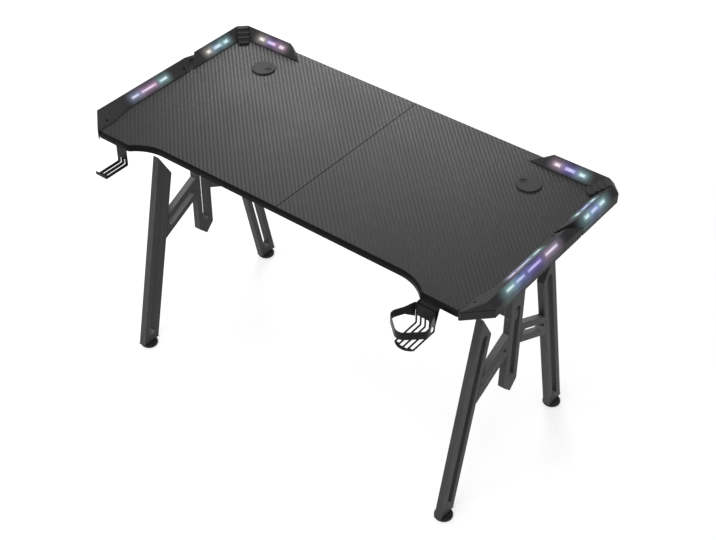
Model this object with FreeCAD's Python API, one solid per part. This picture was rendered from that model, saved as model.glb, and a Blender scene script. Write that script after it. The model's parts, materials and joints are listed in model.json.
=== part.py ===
import FreeCAD, Part
import math
import os

Vector = FreeCAD.Vector
UP = Vector(0, 0, 1)
DOWN = Vector(0, 0, -1)
RIGHT = Vector(1, 0, 0)
LEFT = Vector(-1, 0, 0)
BACK = Vector(0, 1, 0)
FORTH = Vector(0, -1, 0)

# Sizes shared by several pieces, in millimetres
overrun = 4.0
flat_tolerance = 0.001
running_clearance = 0.05
hole_clearance = 0.15

# Worktop
worktop_length = 1200.0
worktop_depth = 600.0
worktop_height = 728.0
panel_thickness = 15.0
edge_band_thickness = 1.0
edge_bevel = 5.0
seam_bevel = 0.8
front_recess = 35.0
front_recess_run = 80.0
front_wing_length = 160.0
front_wing_round = 14.0
front_corner_round = 18.0
front_corner_chamfer = 55.0
rear_corner_chamfer = 30.0

# Plates across the seam
seam_plate_length = 120.0
seam_plate_width = 40.0
seam_plate_thickness = 2.5
seam_plate_spacing = 200.0
seam_plate_count = 3
seam_screw_inset = 15.0

# Light guards
guard_skirt = 3.0
guard_wall = 2.5
guard_skirt_drop = 21.5
guard_skirt_top = 5.0
guard_ridge_height = 25.0
guard_ridge_inset = 15.0
guard_foot_inset = 45.0
guard_gap = 4.0
guard_split_from_rear = 187.0
guard_split_skew_share = 1.3
rear_guard_back_run = 210.0
rear_guard_end_skew_share = 1.15
rear_guard_end_rake_share = 0.71
front_guard_end_facet = 30.0
front_guard_end_height = 8.0
front_guard_facet_skew_share = 0.77
front_guard_lug_inset = 60.0
front_guard_lug_run = 115.0
front_guard_lug_taper = 60.0

# Light windows, as centre and length in shares of the run that they lie on
front_window_height = 6.0
rear_window_height = 8.5
window_proud = 0.3
window_depth = 3.5
front_inner_window_shares = ((0.292, 0.071), (0.426, 0.150), (0.573, 0.073))
front_outer_window_shares = ((0.180, 0.078), (0.290, 0.092), (0.446, 0.148), (0.640, 0.137))
rear_inner_window_shares = ((0.133, 0.085), (0.349, 0.178), (0.560, 0.105))
rear_outer_window_shares = ((0.153, 0.115), (0.363, 0.190), (0.573, 0.140))
back_inner_window_shares = ((0.331, 0.076), (0.490, 0.133), (0.657, 0.076))

# Hollows in the guards, as first and last share of a run, and the light strips in them
front_hollow_shares = (0.095, 0.735)
rear_hollow_shares = (0.03, 0.72)
back_hollow_shares = (0.22, 0.733)
strip_width = 12.0
strip_thickness = 1.6
strip_inset = 16.0
strip_end_gap = 3.0
chip_size = 5.0
chip_height = 1.6

# Ribbed caps in the rear corners
cap_width = 30.0
cap_reach = 71.0
cap_nose_height = 6.0
cap_nose_round = 7.0
cap_rib_count = 4

# Cable grommets
grommet_inset_x = 187.0
grommet_inset_y = 125.0
grommet_hole_radius = 30.0
grommet_flange_radius = 32.5
grommet_flange_height = 0.8
grommet_wall = 2.4
grommet_cap_thickness = 3.0
grommet_cap_lip = 2.0
grommet_cap_skirt = 6.3
cable_plug_radius = 9.0
cable_plug_offset = 16.0
cable_plug_recess = 1.2
cable_plug_stub = 4.0
cable_ledge_width = 1.5
cable_ledge_thickness = 1.0

# End frames of slotted tube
frame_inset = 94.0
tube_width = 56.0
tube_depth = 20.0
tube_wall = 1.5
tube_round = 2.5
leg_lean = 12.5
leg_foot_reach = 251.0
leg_clearance = 15.0
leg_tip_drop = 101.0
leg_shoulder_drop = 72.0
leg_slot_width = 21.0
leg_slot_bottom = 38.0
leg_slot_drop = 59.0
upright_tip_height = 245.0
upright_slot_width = 21.0
upright_slot_rise = 48.0
upright_slot_top = 523.0
brace_slope = 27.0
brace_height = 417.0
brace_slot_width = 20.0
brace_slot_margin = 10.0

# Bars and rails under the worktop
top_bar_width = 40.0
top_bar_height = 25.0
top_bar_length = 460.0
top_bar_screw_places = (60.0, 200.0)
rail_width = 30.0
rail_spread = 240.0
rail_screw_places = (100.0, 380.0)
rail_tab_thickness = 2.5
rail_tab_width = 24.0
rail_tab_overlap = 10.0
rail_tab_reach = 24.0
cross_bar_width = 20.0
cross_bar_height = 30.0
cross_bar_drop = 2.0
cross_bar_end_gap = 1.0

# Levelling feet and the plugs in the leg ends
foot_radius = 24.0
foot_pad_height = 9.0
foot_pad_chamfer = 2.0
foot_collar_radius = 9.0
foot_stem_radius = 4.0
foot_stem_length = 22.0
foot_stop_gap = 0.1
leg_plug_flange = 2.0
leg_plug_height = 20.0
leg_plug_fit = 0.1

# Headphone hook
hook_inset = 125.0
hook_width = 34.0
hook_sheet = 2.0
hook_setback = 8.0
hook_drop = 55.0
hook_reach = 75.0
hook_lip = 11.0
hook_flange = 25.0
hook_bend = 4.0
hook_slot_count = 2
hook_bar_width = 8.7
hook_rim = 14.0
hook_slot_rise = 16.0

# Cup holder
cup_inset = 143.0
cup_width = 52.0
cup_sheet = 2.0
cup_drop = 75.0
cup_base_reach = 88.0
cup_base_bulge = 12.0
cup_flange = 30.0
cup_bend = 4.0
cup_slot_count = 4
cup_bar_width = 4.0
cup_rim = 8.0
cup_slot_rise = 24.0
cup_top_width = 72.0
cup_corner_cut = 10.0
cup_corner_drop = 17.0
cup_straight_rise = 12.0
cup_ring_back_width = 56.0
cup_ring_neck_width = 74.0
cup_ring_neck_reach = 28.0
cup_ring_width = 108.0
cup_ring_wide_reach = 60.0
cup_ring_reach = 108.75
cup_ring_neck_round = 16.0
cup_ring_side_round = 20.0
cup_ring_front_round = 22.0
cup_ring_height = 20.0
cup_ring_drop = 15.0
cup_web_drop = 20.0

# Light controller under the worktop
controller_from_side = 270.0
controller_offset = 5.0
controller_length = 80.0
controller_width = 46.0
controller_height = 20.0
controller_wall = 2.0
controller_lid_thickness = 2.0
controller_ear_length = 14.0
controller_ear_width = 16.0
controller_ear_thickness = 3.0
button_radius = 5.0
button_proud = 2.5
button_length = 6.5
button_place = 18.0
socket_radius = 5.5
socket_bore = 2.8
socket_length = 12.0
socket_proud = 1.0
socket_place = 18.0

# Fasteners
wood_screw_radius = 2.0
wood_screw_head_radius = 4.0
wood_screw_head_height = 2.4
wood_screw_grip = 11.0
guard_screw_head_radius = 3.4
guard_screw_head_height = 2.0
guard_screw_seat = 2.5
front_lug_screw_inset = 46.0
front_lug_screw_from_front = 42.0
front_end_screw_inset = 33.0
front_end_screw_from_split = 36.0
rear_screw_inset = 24.0
rear_screw_from_end = 20.0
rear_screw_grip = 8.0
bolt_radius = 3.0
bolt_head_radius = 5.5
bolt_head_height = 4.0
tab_bolt_grip = 8.0
accessory_screw_pitch = 20.0

# Places worked out from the sizes above
half_length = worktop_length / 2
half_depth = worktop_depth / 2
underside = worktop_height - panel_thickness
bar_bottom = underside - top_bar_height
frame_x = half_length - frame_inset
frame_inner_x = frame_x - tube_depth / 2
frame_outer_x = frame_x + tube_depth / 2
split_y = half_depth - guard_split_from_rear
split_gap = guard_gap * math.hypot(1, guard_split_skew_share)
controller_x = half_length - controller_from_side
front_edge_y = front_recess - half_depth
front_rail_face = -(rail_spread + rail_width) / 2
controller_y = (front_edge_y + front_rail_face) / 2 - controller_offset
leg_tip_height = bar_bottom - leg_tip_drop
leg_shoulder_height = leg_tip_height - leg_shoulder_drop
leg_slot_top = leg_tip_height - leg_slot_drop
upright_slot_bottom = upright_tip_height + upright_slot_rise
bow_turn = math.atan2(cup_ring_width / 2, cup_ring_reach - cup_ring_wide_reach)
bow_front = cup_ring_reach - cup_ring_front_round * (1 / math.sin(bow_turn) - 1)
origin_shift = Vector(0, bow_front / 2, 0)


# Shared shapes

def flat_face(points):
    """Flat face inside a polygon."""
    return Part.Face(Part.makePolygon(points + points[:1]))


def prism(points, direction):
    """Solid from a flat polygon, pushed along a direction."""
    return flat_face(points).extrude(direction)


def box(low, high):
    """Box between two opposite corners."""
    size = high - low
    return Part.makeBox(size.x, size.y, size.z, low)


def six_sided(radius, start, axis):
    """Hexagonal bar from a point along an axis, as for a bolt's head."""
    side = axis.cross(RIGHT)
    side.normalize()
    other = axis.cross(side)
    other.normalize()
    corners = []
    for step in range(6):
        angle = math.radians(60 * step)
        corners.append(start + side * (radius * math.cos(angle)) + other * (radius * math.sin(angle)))
    return prism(corners, axis)


def slot_cutter(start, end, width):
    """Slot with round ends, along a line in an end frame, through the whole tube."""
    run = end - start
    run.normalize()
    side = RIGHT.cross(run) * (width / 2)
    first = start + run * (width / 2)
    last = end - run * (width / 2)
    edges = [
        Part.LineSegment(first + side, last + side).toShape(),
        Part.Arc(last + side, end, last - side).toShape(),
        Part.LineSegment(last - side, first - side).toShape(),
        Part.Arc(first - side, start, first + side).toShape(),
    ]
    face = Part.Face(Part.Wire(edges))
    face.translate(LEFT * tube_depth)
    return face.extrude(RIGHT * (2 * tube_depth))


def polyhedron(sections):
    """Solid through matching polygons, its sides flat or split into two triangles."""
    count = len(sections[0])
    faces = [flat_face(sections[0]), flat_face(sections[-1])]
    for near, far in zip(sections, sections[1:]):
        for k in range(count):
            a, b = near[k], near[(k + 1) % count]
            d, c = far[k], far[(k + 1) % count]
            square = (b - a).cross(d - a)
            square.normalize()
            if abs(square.dot(c - a)) < flat_tolerance:
                faces.append(flat_face([a, b, c, d]))
            else:
                faces.append(flat_face([a, b, c]))
                faces.append(flat_face([a, c, d]))
    shell = Part.Shell(faces)
    shell.sewShape()
    solid = Part.Solid(shell)
    if solid.Volume < 0:
        solid.reverse()
    return solid


def mirrored(shape):
    """The same piece on the other side of the desk."""
    return shape.mirror(Vector(0, 0, 0), RIGHT)


def turned_round(shape):
    """The same piece at the front in place of the back."""
    return shape.mirror(Vector(0, 0, 0), BACK)


def group(shapes):
    """Several loose pieces of one kind."""
    return Part.makeCompound(shapes)


def on_both_sides(shapes):
    """Pieces of one kind and their mirror images."""
    return group(shapes + [mirrored(shape) for shape in shapes])


def edges_along(shape, direction):
    """The straight edges of a shape that run in one direction."""
    chosen = []
    for edge in shape.Edges:
        ends = [vertex.Point for vertex in edge.Vertexes]
        if len(ends) == 2 and (ends[1] - ends[0]).cross(direction).Length < flat_tolerance:
            chosen.append(edge)
    return chosen


def edges_through(shape, direction, places):
    """The edges in one direction that pass through given places."""
    chosen = []
    for edge in edges_along(shape, direction):
        start = edge.Vertexes[0].Point
        if any((start - place).cross(direction).Length < flat_tolerance for place in places):
            chosen.append(edge)
    return chosen


def save(shape, node):
    """Write one node, with the middle of the desk's footprint at the origin."""
    moved = shape.copy()
    moved.translate(origin_shift)
    moved.exportStep("parts/" + node + ".step")


# Screws and holes

def wood_screw(seat, length):
    """Screw that goes straight up from the seat of its head."""
    head = Part.makeCylinder(wood_screw_head_radius, wood_screw_head_height, seat, DOWN)
    shank = Part.makeCylinder(wood_screw_radius, length, seat, UP)
    return head.fuse(shank).removeSplitter()


def wood_screw_hole(seat, length):
    """Clear hole for a screw that goes straight up."""
    start = seat + DOWN * overrun
    return Part.makeCylinder(wood_screw_radius + hole_clearance, length + overrun + hole_clearance, start, UP)


def guard_screw(place):
    """Screw sunk into a guard from above, into the worktop."""
    seat = place + UP * guard_screw_seat
    head = Part.makeCylinder(guard_screw_head_radius, guard_screw_head_height, seat, UP)
    shank = Part.makeCylinder(wood_screw_radius, guard_screw_seat + wood_screw_grip, seat, DOWN)
    return head.fuse(shank).removeSplitter()


def guard_screw_hole(place):
    """Stepped hole for a screw sunk into a guard."""
    seat = place + UP * guard_screw_seat
    well = Part.makeCylinder(guard_screw_head_radius + hole_clearance, guard_ridge_height, seat, UP)
    depth = guard_screw_seat + wood_screw_grip + hole_clearance
    return well.fuse(Part.makeCylinder(wood_screw_radius + hole_clearance, depth, seat, DOWN))


# Worktop halves

def half_outline(inset, height):
    """Outline of the right half of the worktop, drawn in by an inset."""
    side = half_length - guard_skirt - inset
    rear = half_depth - guard_skirt - inset
    front = -half_depth + inset
    slant = (guard_skirt + inset) * math.sqrt(2)
    rear_sum = half_length + half_depth - rear_corner_chamfer - slant
    front_sum = half_length + half_depth - front_corner_chamfer - slant

    corner = front_corner_round - inset
    corner_y = -half_depth + front_corner_round
    corner_x = front_sum + corner_y - corner * math.sqrt(2)
    turn = math.radians(45)
    corner_in = Vector(corner_x + corner * math.sin(turn), corner_y - corner * math.cos(turn), height)
    half_turn = turn / 2
    mid_x = corner_x + corner * math.sin(half_turn)
    mid_y = corner_y - corner * math.cos(half_turn)
    corner_mid = Vector(mid_x, mid_y, height)
    corner_out = Vector(corner_x, front, height)

    bend = (front_recess_run ** 2 + front_recess ** 2) / (2 * front_recess)
    bend_x = half_length - front_wing_length - front_recess_run
    bend_y = -half_depth + front_recess - bend
    wing = front_wing_round - inset
    wing_y = -half_depth + front_wing_round
    wing_x = bend_x + math.sqrt((bend + front_wing_round) ** 2 - (wing_y - bend_y) ** 2)
    swing = math.atan2(wing_x - bend_x, wing_y - bend_y)
    wing_in = Vector(wing_x, front, height)
    wing_mid = Vector(wing_x - wing * math.sin(swing / 2), wing_y - wing * math.cos(swing / 2), height)
    wing_out = Vector(wing_x - wing * math.sin(swing), wing_y - wing * math.cos(swing), height)
    reach = bend + inset
    bend_mid = Vector(bend_x + reach * math.sin(swing / 2), bend_y + reach * math.cos(swing / 2), height)
    bend_out = Vector(bend_x, bend_y + reach, height)

    points = [
        Vector(0, bend_y + reach, height),
        Vector(0, rear, height),
        Vector(rear_sum - rear, rear, height),
        Vector(side, rear_sum - side, height),
        Vector(side, side - front_sum, height),
        corner_in,
    ]
    edges = [Part.LineSegment(a, b).toShape() for a, b in zip(points, points[1:])]
    edges.append(Part.Arc(corner_in, corner_mid, corner_out).toShape())
    edges.append(Part.LineSegment(corner_out, wing_in).toShape())
    edges.append(Part.Arc(wing_in, wing_mid, wing_out).toShape())
    edges.append(Part.Arc(wing_out, bend_mid, bend_out).toShape())
    edges.append(Part.LineSegment(bend_out, points[0]).toShape())
    return Part.Wire(edges)


def make_panel(holes):
    """Right half of the worktop, bevelled round its top, with its holes."""
    base = Part.Face(half_outline(edge_band_thickness, underside))
    slab = base.extrude(UP * (panel_thickness - edge_bevel))
    foot = half_outline(edge_band_thickness, worktop_height - edge_bevel)
    rim = half_outline(edge_band_thickness + edge_bevel, worktop_height)
    panel = slab.fuse(Part.makeLoft([foot, rim], True, True)).removeSplitter()
    groove = prism(
        [
            Vector(0, -half_depth, worktop_height - seam_bevel),
            Vector(0, -half_depth, worktop_height + seam_bevel),
            Vector(2 * seam_bevel, -half_depth, worktop_height + seam_bevel),
        ],
        BACK * worktop_depth,
    )
    return panel.cut([groove] + holes)


def make_edge_band():
    """Thin band round the outer edges of the right half, below its bevel."""
    outer = Part.Face(half_outline(0, underside))
    inner = Part.Face(half_outline(edge_band_thickness, underside))
    return outer.cut(inner).extrude(UP * (panel_thickness - edge_bevel))


def seam_screw_seats():
    """Seats of the seam screws in the right half."""
    seats = []
    for step in range(seam_plate_count):
        y = (step - (seam_plate_count - 1) / 2) * seam_plate_spacing
        for x in (seam_screw_inset, seam_plate_length / 2 - seam_screw_inset):
            seats.append(Vector(x, y, underside - seam_plate_thickness))
    return seats


def make_seam_plates():
    """Flat plates under the seam, each with a row of screw holes."""
    low = underside - seam_plate_thickness
    holes = []
    for seat in seam_screw_seats():
        holes.append(wood_screw_hole(seat, seam_plate_thickness))
    holes += [mirrored(hole) for hole in holes]
    plates = []
    for step in range(seam_plate_count):
        y = (step - (seam_plate_count - 1) / 2) * seam_plate_spacing
        corner = Vector(-seam_plate_length / 2, y - seam_plate_width / 2, low)
        far = Vector(seam_plate_length / 2, y + seam_plate_width / 2, underside)
        plates.append(box(corner, far).cut(holes))
    return group(plates)


# Light guards

class Run:
    """Straight run of a guard on the right, from a start on its outer edge."""

    def __init__(self, x, y, along, inward, length):
        self.start = Vector(x, y, worktop_height)
        self.along = along
        self.inward = inward
        self.length = length

    def at(self, share, inset, height):
        return self.start + self.along * (self.length * share) + self.inward * inset + UP * height

    def span(self, shares):
        return self.along * (self.length * (shares[1] - shares[0]))


front_run = Run(half_length, front_corner_chamfer - half_depth, BACK, LEFT,
                split_y + half_depth - front_corner_chamfer)
rear_run = Run(half_length, split_y, BACK, LEFT, guard_split_from_rear - rear_corner_chamfer)
back_run = Run(half_length - rear_corner_chamfer, half_depth, LEFT, FORTH, rear_guard_back_run)


def inner_wall(run):
    """Middle inset and height of the inner slope, its way down and its way out."""
    width = guard_foot_inset - guard_ridge_inset
    slope = math.hypot(width, guard_ridge_height)
    down = (run.inward * width + DOWN * guard_ridge_height) * (1 / slope)
    out = (run.inward * guard_ridge_height + UP * width) * (1 / slope)
    return (guard_ridge_inset + guard_foot_inset) / 2, guard_ridge_height / 2, down, out


def outer_wall(run):
    """Middle inset and height of the outer slope, its way down and its way out."""
    rise = guard_ridge_height - guard_skirt_top
    slope = math.hypot(guard_ridge_inset, rise)
    down = (run.inward * -guard_ridge_inset + DOWN * rise) * (1 / slope)
    out = (run.inward * -rise + UP * guard_ridge_inset) * (1 / slope)
    return guard_ridge_inset / 2, (guard_skirt_top + guard_ridge_height) / 2, down, out


def window_row(run, wall, shares, height, depth, proud):
    """Blocks through one wall of a run, each flat on the wall."""
    inset, level, down, out = wall(run)
    blocks = []
    for centre_share, length_share in shares:
        back = run.at(centre_share, inset, level) - out * depth
        reach = run.along * (run.length * length_share / 2)
        drop = down * (height / 2)
        ring = [back - reach - drop, back + reach - drop, back + reach + drop, back - reach + drop]
        blocks.append(prism(ring, out * (depth + proud)))
    return blocks


def front_windows(depth, proud):
    """Window blocks of the right front guard."""
    inner = window_row(front_run, inner_wall, front_inner_window_shares, front_window_height, depth, proud)
    outer = window_row(front_run, outer_wall, front_outer_window_shares, front_window_height, depth, proud)
    return inner + outer


def rear_windows(depth, proud):
    """Window blocks of the right rear guard."""
    inner = window_row(rear_run, inner_wall, rear_inner_window_shares, rear_window_height, depth, proud)
    outer = window_row(rear_run, outer_wall, rear_outer_window_shares, rear_window_height, depth, proud)
    back = window_row(back_run, inner_wall, back_inner_window_shares, rear_window_height, depth, proud)
    return inner + outer + back


def hollow(run, shares):
    """Space under the roof of a run, open towards the worktop."""
    roof = [
        (0, -guard_skirt_drop),
        (0, guard_skirt_top),
        (guard_ridge_inset, guard_ridge_height),
        (guard_foot_inset, 0),
        (guard_foot_inset, -guard_skirt_drop),
    ]
    face = flat_face([run.at(shares[0], inset, height) for inset, height in roof])
    space = face.makeOffset2D(-guard_wall).extrude(run.span(shares))
    low = Vector(0, -worktop_depth, worktop_height)
    return space.common(box(low, Vector(worktop_length, worktop_depth, 2 * worktop_height)))


def light_strip(run, shares, window_shares):
    """Light strip on the worktop in a guard's hollow, with a chip for each window."""
    base = run.at(shares[0], strip_inset, 0) + run.along * strip_end_gap
    length = run.span(shares) - run.along * (2 * strip_end_gap)
    across = run.inward * strip_width
    strip = prism([base, base + length, base + length + across, base + across], UP * strip_thickness)
    along = run.along * chip_size
    inward = run.inward * chip_size
    for centre_share, length_share in window_shares:
        centre = run.at(centre_share, strip_inset + strip_width / 2, strip_thickness)
        low = centre - along / 2 - inward / 2
        strip = strip.fuse(prism([low, low + along, low + along + inward, low + inward], UP * chip_height))
    return strip.removeSplitter()


def side_point(inset, y, height):
    """Place on the right end of the worktop."""
    return Vector(half_length - inset, y, worktop_height + height)


def back_point(inset, x, height):
    """Place on the back of the worktop."""
    return Vector(x, half_depth - inset, worktop_height + height)


def split_line(inset):
    """Where the slanting split between the guards lies, at an inset from the end."""
    return split_y - guard_split_skew_share * inset


def back_end_line(inset, height):
    """Where the slanting end of the back run lies."""
    end = half_length - rear_corner_chamfer - rear_guard_back_run
    return end + rear_guard_end_skew_share * (guard_foot_inset - inset) + rear_guard_end_rake_share * height


def rear_guard_body():
    """Right rear guard without its hollows: side run, corner and back run."""
    section = [
        (0, -guard_skirt_drop),
        (0, guard_skirt_top),
        (guard_ridge_inset, guard_ridge_height),
        (guard_foot_inset, 0),
        (guard_skirt, 0),
        (guard_skirt, -guard_skirt_drop),
    ]
    mitre = math.tan(math.radians(45) / 2)
    corner_y = half_depth - rear_corner_chamfer
    corner_x = half_length - rear_corner_chamfer
    return polyhedron([
        [side_point(u, split_line(u), z) for u, z in section],
        [side_point(u, corner_y - mitre * u, z) for u, z in section],
        [back_point(u, corner_x - mitre * u, z) for u, z in section],
        [back_point(u, back_end_line(u, z), z) for u, z in section],
    ])


def rear_screw_seats():
    """Seats of the screws that hold the right rear guard from below."""
    corner = half_length - rear_corner_chamfer / 2
    depth = half_depth - rear_corner_chamfer / 2
    step = rear_screw_inset / math.sqrt(2)
    side_y = split_line(rear_screw_inset) + rear_screw_from_end
    end_x = back_end_line(rear_screw_inset, rear_screw_grip) + rear_screw_from_end
    return [
        Vector(corner - step, depth - step, underside),
        Vector(half_length - rear_screw_inset, side_y, underside),
        Vector(end_x, half_depth - rear_screw_inset, underside),
    ]


def make_rear_guard():
    """Right rear guard, hollow under its straight runs, with its window holes."""
    cuts = [hollow(rear_run, rear_hollow_shares), hollow(back_run, back_hollow_shares)]
    cuts += rear_windows(window_depth, overrun)
    cuts += [wood_screw_hole(seat, panel_thickness + rear_screw_grip) for seat in rear_screw_seats()]
    return rear_guard_body().cut(cuts)


def front_skirt():
    """Skirt of the right front guard, round the corner of the worktop."""
    front_x = half_length - front_corner_chamfer
    corner_y = front_corner_chamfer - half_depth
    slant = guard_skirt * math.sqrt(2)
    ring = [
        side_point(0, split_line(0) - split_gap, -guard_skirt_drop),
        side_point(0, corner_y, -guard_skirt_drop),
        Vector(front_x, -half_depth, worktop_height - guard_skirt_drop),
        Vector(front_x - slant, -half_depth, worktop_height - guard_skirt_drop),
        side_point(guard_skirt, corner_y - guard_skirt + slant, -guard_skirt_drop),
        side_point(guard_skirt, split_line(guard_skirt) - split_gap, -guard_skirt_drop),
    ]
    return prism(ring, UP * guard_skirt_drop)


def front_roof():
    """Roof of the right front guard: sunk end, straight run and widening lug."""
    def roof(ridge, foot):
        return [(0, 0), (0, guard_skirt_top), (guard_ridge_inset, ridge), (foot, 0)]

    end = roof(front_guard_end_height, guard_foot_inset)
    straight = roof(guard_ridge_height, guard_foot_inset)
    lug = roof(guard_ridge_height, front_guard_lug_inset)
    ridge_y = split_line(guard_ridge_inset) - split_gap - front_guard_end_facet
    facet_y = ridge_y + front_guard_facet_skew_share * guard_ridge_inset
    lug_y = front_guard_lug_run - half_depth
    whole = polyhedron([
        [side_point(u, split_line(u) - split_gap, z) for u, z in end],
        [side_point(u, facet_y - front_guard_facet_skew_share * u, z) for u, z in straight],
        [side_point(u, lug_y, z) for u, z in straight],
        [side_point(u, lug_y - front_guard_lug_taper, z) for u, z in lug],
        [side_point(u, -half_depth - overrun, z) for u, z in lug],
    ])
    size = front_corner_chamfer
    corner = prism(
        [
            Vector(half_length + size, 2 * size - half_depth, worktop_height - overrun),
            Vector(half_length + size, -half_depth - size, worktop_height - overrun),
            Vector(half_length - 2 * size, -half_depth - size, worktop_height - overrun),
        ],
        UP * (guard_ridge_height + 2 * overrun),
    )
    ahead = box(
        Vector(0, -worktop_depth, worktop_height - overrun),
        Vector(worktop_length, -half_depth, worktop_height + guard_ridge_height + overrun),
    )
    return whole.cut([corner, ahead])


def front_screw_places():
    """Places on the worktop under the two screws of the right front guard."""
    end_y = split_line(front_end_screw_inset) - front_end_screw_from_split
    return [
        side_point(front_lug_screw_inset, front_lug_screw_from_front - half_depth, 0),
        side_point(front_end_screw_inset, end_y, 0),
    ]


def make_front_guard():
    """Right front guard, hollow under its straight run, with window and screw holes."""
    body = front_roof().fuse(front_skirt()).removeSplitter()
    cuts = [hollow(front_run, front_hollow_shares)]
    cuts += front_windows(window_depth, overrun)
    cuts += [guard_screw_hole(place) for place in front_screw_places()]
    return body.cut(cuts)


def make_corner_cap():
    """Ribbed tongue over the inner corner of the right rear guard."""
    cut = rear_corner_chamfer / 2
    middle = Vector(half_length - cut, half_depth - cut, worktop_height)
    inward = Vector(-1, -1, 0)
    inward.normalize()
    across = UP.cross(inward)
    tread = (cap_reach - guard_ridge_inset) / cap_rib_count
    drop = (guard_ridge_height - cap_nose_height) / (cap_rib_count - 1)
    stairs = [(guard_ridge_inset, 0)]
    for step in range(cap_rib_count):
        level = guard_ridge_height - drop * step
        stairs.append((guard_ridge_inset + tread * step, level))
        stairs.append((guard_ridge_inset + tread * (step + 1), level))
    stairs.append((cap_reach, 0))
    base = middle - across * (cap_width / 2)
    tongue = prism([base + inward * u + UP * z for u, z in stairs], across * cap_width)
    nose = [base + inward * cap_reach, base + inward * cap_reach + across * cap_width]
    tongue = tongue.makeFillet(cap_nose_round, edges_through(tongue, UP, nose))
    return tongue.cut(rear_guard_body())


# Cable grommets

def grommet_place(height):
    """Middle of the right grommet."""
    return Vector(half_length - grommet_inset_x, half_depth - grommet_inset_y, height)


def make_grommet_hole():
    """Round hole through the worktop for the liner."""
    depth = panel_thickness + 2 * overrun
    return Part.makeCylinder(grommet_hole_radius, depth, grommet_place(underside - overrun), UP)


def make_grommet_liner():
    """Sleeve with a flange, in the hole of the worktop."""
    outer = grommet_hole_radius - hole_clearance
    sleeve = Part.makeCylinder(outer, panel_thickness, grommet_place(underside), UP)
    top = grommet_place(worktop_height)
    flange = Part.makeCylinder(grommet_flange_radius, grommet_flange_height, top, UP)
    depth = panel_thickness + grommet_flange_height + 2 * overrun
    bore = Part.makeCylinder(outer - grommet_wall, depth, grommet_place(underside - overrun), UP)
    return sleeve.fuse(flange).removeSplitter().cut(bore)


def grommet_cap_low():
    """Height of the cap's lower face, just above the liner's flange."""
    return worktop_height + grommet_flange_height + running_clearance


def plug_cylinder(radius, low, height):
    """Cylinder at the cable hole of the cap, which lies towards the desk's middle."""
    return Part.makeCylinder(radius, height, grommet_place(low) + LEFT * cable_plug_offset, UP)


def make_grommet_cap():
    """Turning cap with a skirt inside the liner and a cable hole with a ledge."""
    low = grommet_cap_low()
    rim = grommet_flange_radius - grommet_cap_lip
    disc = Part.makeCylinder(rim, grommet_cap_thickness, grommet_place(low), UP)
    outer = grommet_hole_radius - hole_clearance - grommet_wall - running_clearance
    skirt = Part.makeCylinder(outer, grommet_cap_skirt, grommet_place(low), DOWN)
    inside = Part.makeCylinder(outer - grommet_cap_lip, grommet_cap_skirt + overrun, grommet_place(low), DOWN)
    well_radius = cable_plug_radius + running_clearance
    well = plug_cylinder(well_radius, low + cable_ledge_thickness, grommet_cap_thickness)
    throat_depth = grommet_cap_thickness + 2 * overrun
    throat = plug_cylinder(cable_plug_radius - cable_ledge_width, low - overrun, throat_depth)
    return disc.fuse(skirt.cut(inside)).removeSplitter().cut([well, throat])


def make_cable_plug():
    """Round plug that shuts the cable hole of the cap, with a stub through its ledge."""
    seat = grommet_cap_low() + cable_ledge_thickness + running_clearance
    height = grommet_cap_thickness - cable_ledge_thickness - cable_plug_recess
    stub_radius = cable_plug_radius - cable_ledge_width - running_clearance
    stub = plug_cylinder(stub_radius, seat - cable_plug_stub, cable_plug_stub)
    return plug_cylinder(cable_plug_radius, seat, height).fuse(stub).removeSplitter()


# End frames

def leg_line(height):
    """Distance of a leg's middle line from the desk's middle, at a height."""
    return leg_foot_reach - (height - leg_clearance) * math.tan(math.radians(leg_lean))


def leg_half():
    """Half of a leg's width, measured level."""
    return tube_width / 2 / math.cos(math.radians(leg_lean))


def frame_point(y, z):
    """Place on the inner face of the right end frame."""
    return Vector(frame_inner_x, y, z)


def tube(outline, inside, axis, slot_line, slot_width, holes):
    """Tube with rounded long edges, hollow, with a walled slot through it and its holes."""
    solid = prism(outline, RIGHT * tube_depth)
    solid = solid.makeFillet(tube_round, edges_along(solid, axis))
    space = flat_face(inside).makeOffset2D(-tube_wall)
    space.translate(RIGHT * tube_wall)
    start, end = slot_line
    run = end - start
    run.normalize()
    margin = run * tube_wall
    sleeve = slot_cutter(start - margin, end + margin, slot_width + 2 * tube_wall)
    hollow_space = space.extrude(RIGHT * (tube_depth - 2 * tube_wall)).cut(sleeve)
    return solid.cut([hollow_space, slot_cutter(start, end, slot_width)] + holes)


def leg_outline(bottom):
    """Outline of the rear leg: level foot, leaning sides and pointed top."""
    return [
        frame_point(leg_line(bottom) + leg_half(), bottom),
        frame_point(leg_line(leg_tip_height) + leg_half(), leg_tip_height),
        frame_point(leg_line(leg_shoulder_height) - leg_half(), leg_shoulder_height),
        frame_point(leg_line(bottom) - leg_half(), bottom),
    ]


def make_leg():
    """Right rear leg, open at its foot and slotted through."""
    axis = Vector(0, -math.sin(math.radians(leg_lean)), math.cos(math.radians(leg_lean)))
    low = frame_point(leg_line(leg_slot_bottom), leg_slot_bottom)
    high = frame_point(leg_line(leg_slot_top), leg_slot_top)
    inside = leg_outline(leg_clearance - overrun)
    return tube(leg_outline(leg_clearance), inside, axis, (low, high), leg_slot_width, [])


def cross_bar_top():
    """Height of the cross bar's top, below the round end of the upright's slot."""
    return upright_slot_top - upright_slot_width / 2 - cross_bar_drop


def cross_bolt_seat():
    """Seat of the cross bar's bolt on the back of the right upright."""
    return Vector(frame_x, tube_width / 2, cross_bar_top() - cross_bar_height / 2)


def cross_bolt_hole():
    """Hole for the cross bar's bolt."""
    start = cross_bolt_seat() + BACK * overrun
    return Part.makeCylinder(bolt_radius + hole_clearance, tube_width + 2 * overrun, start, FORTH)


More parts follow.
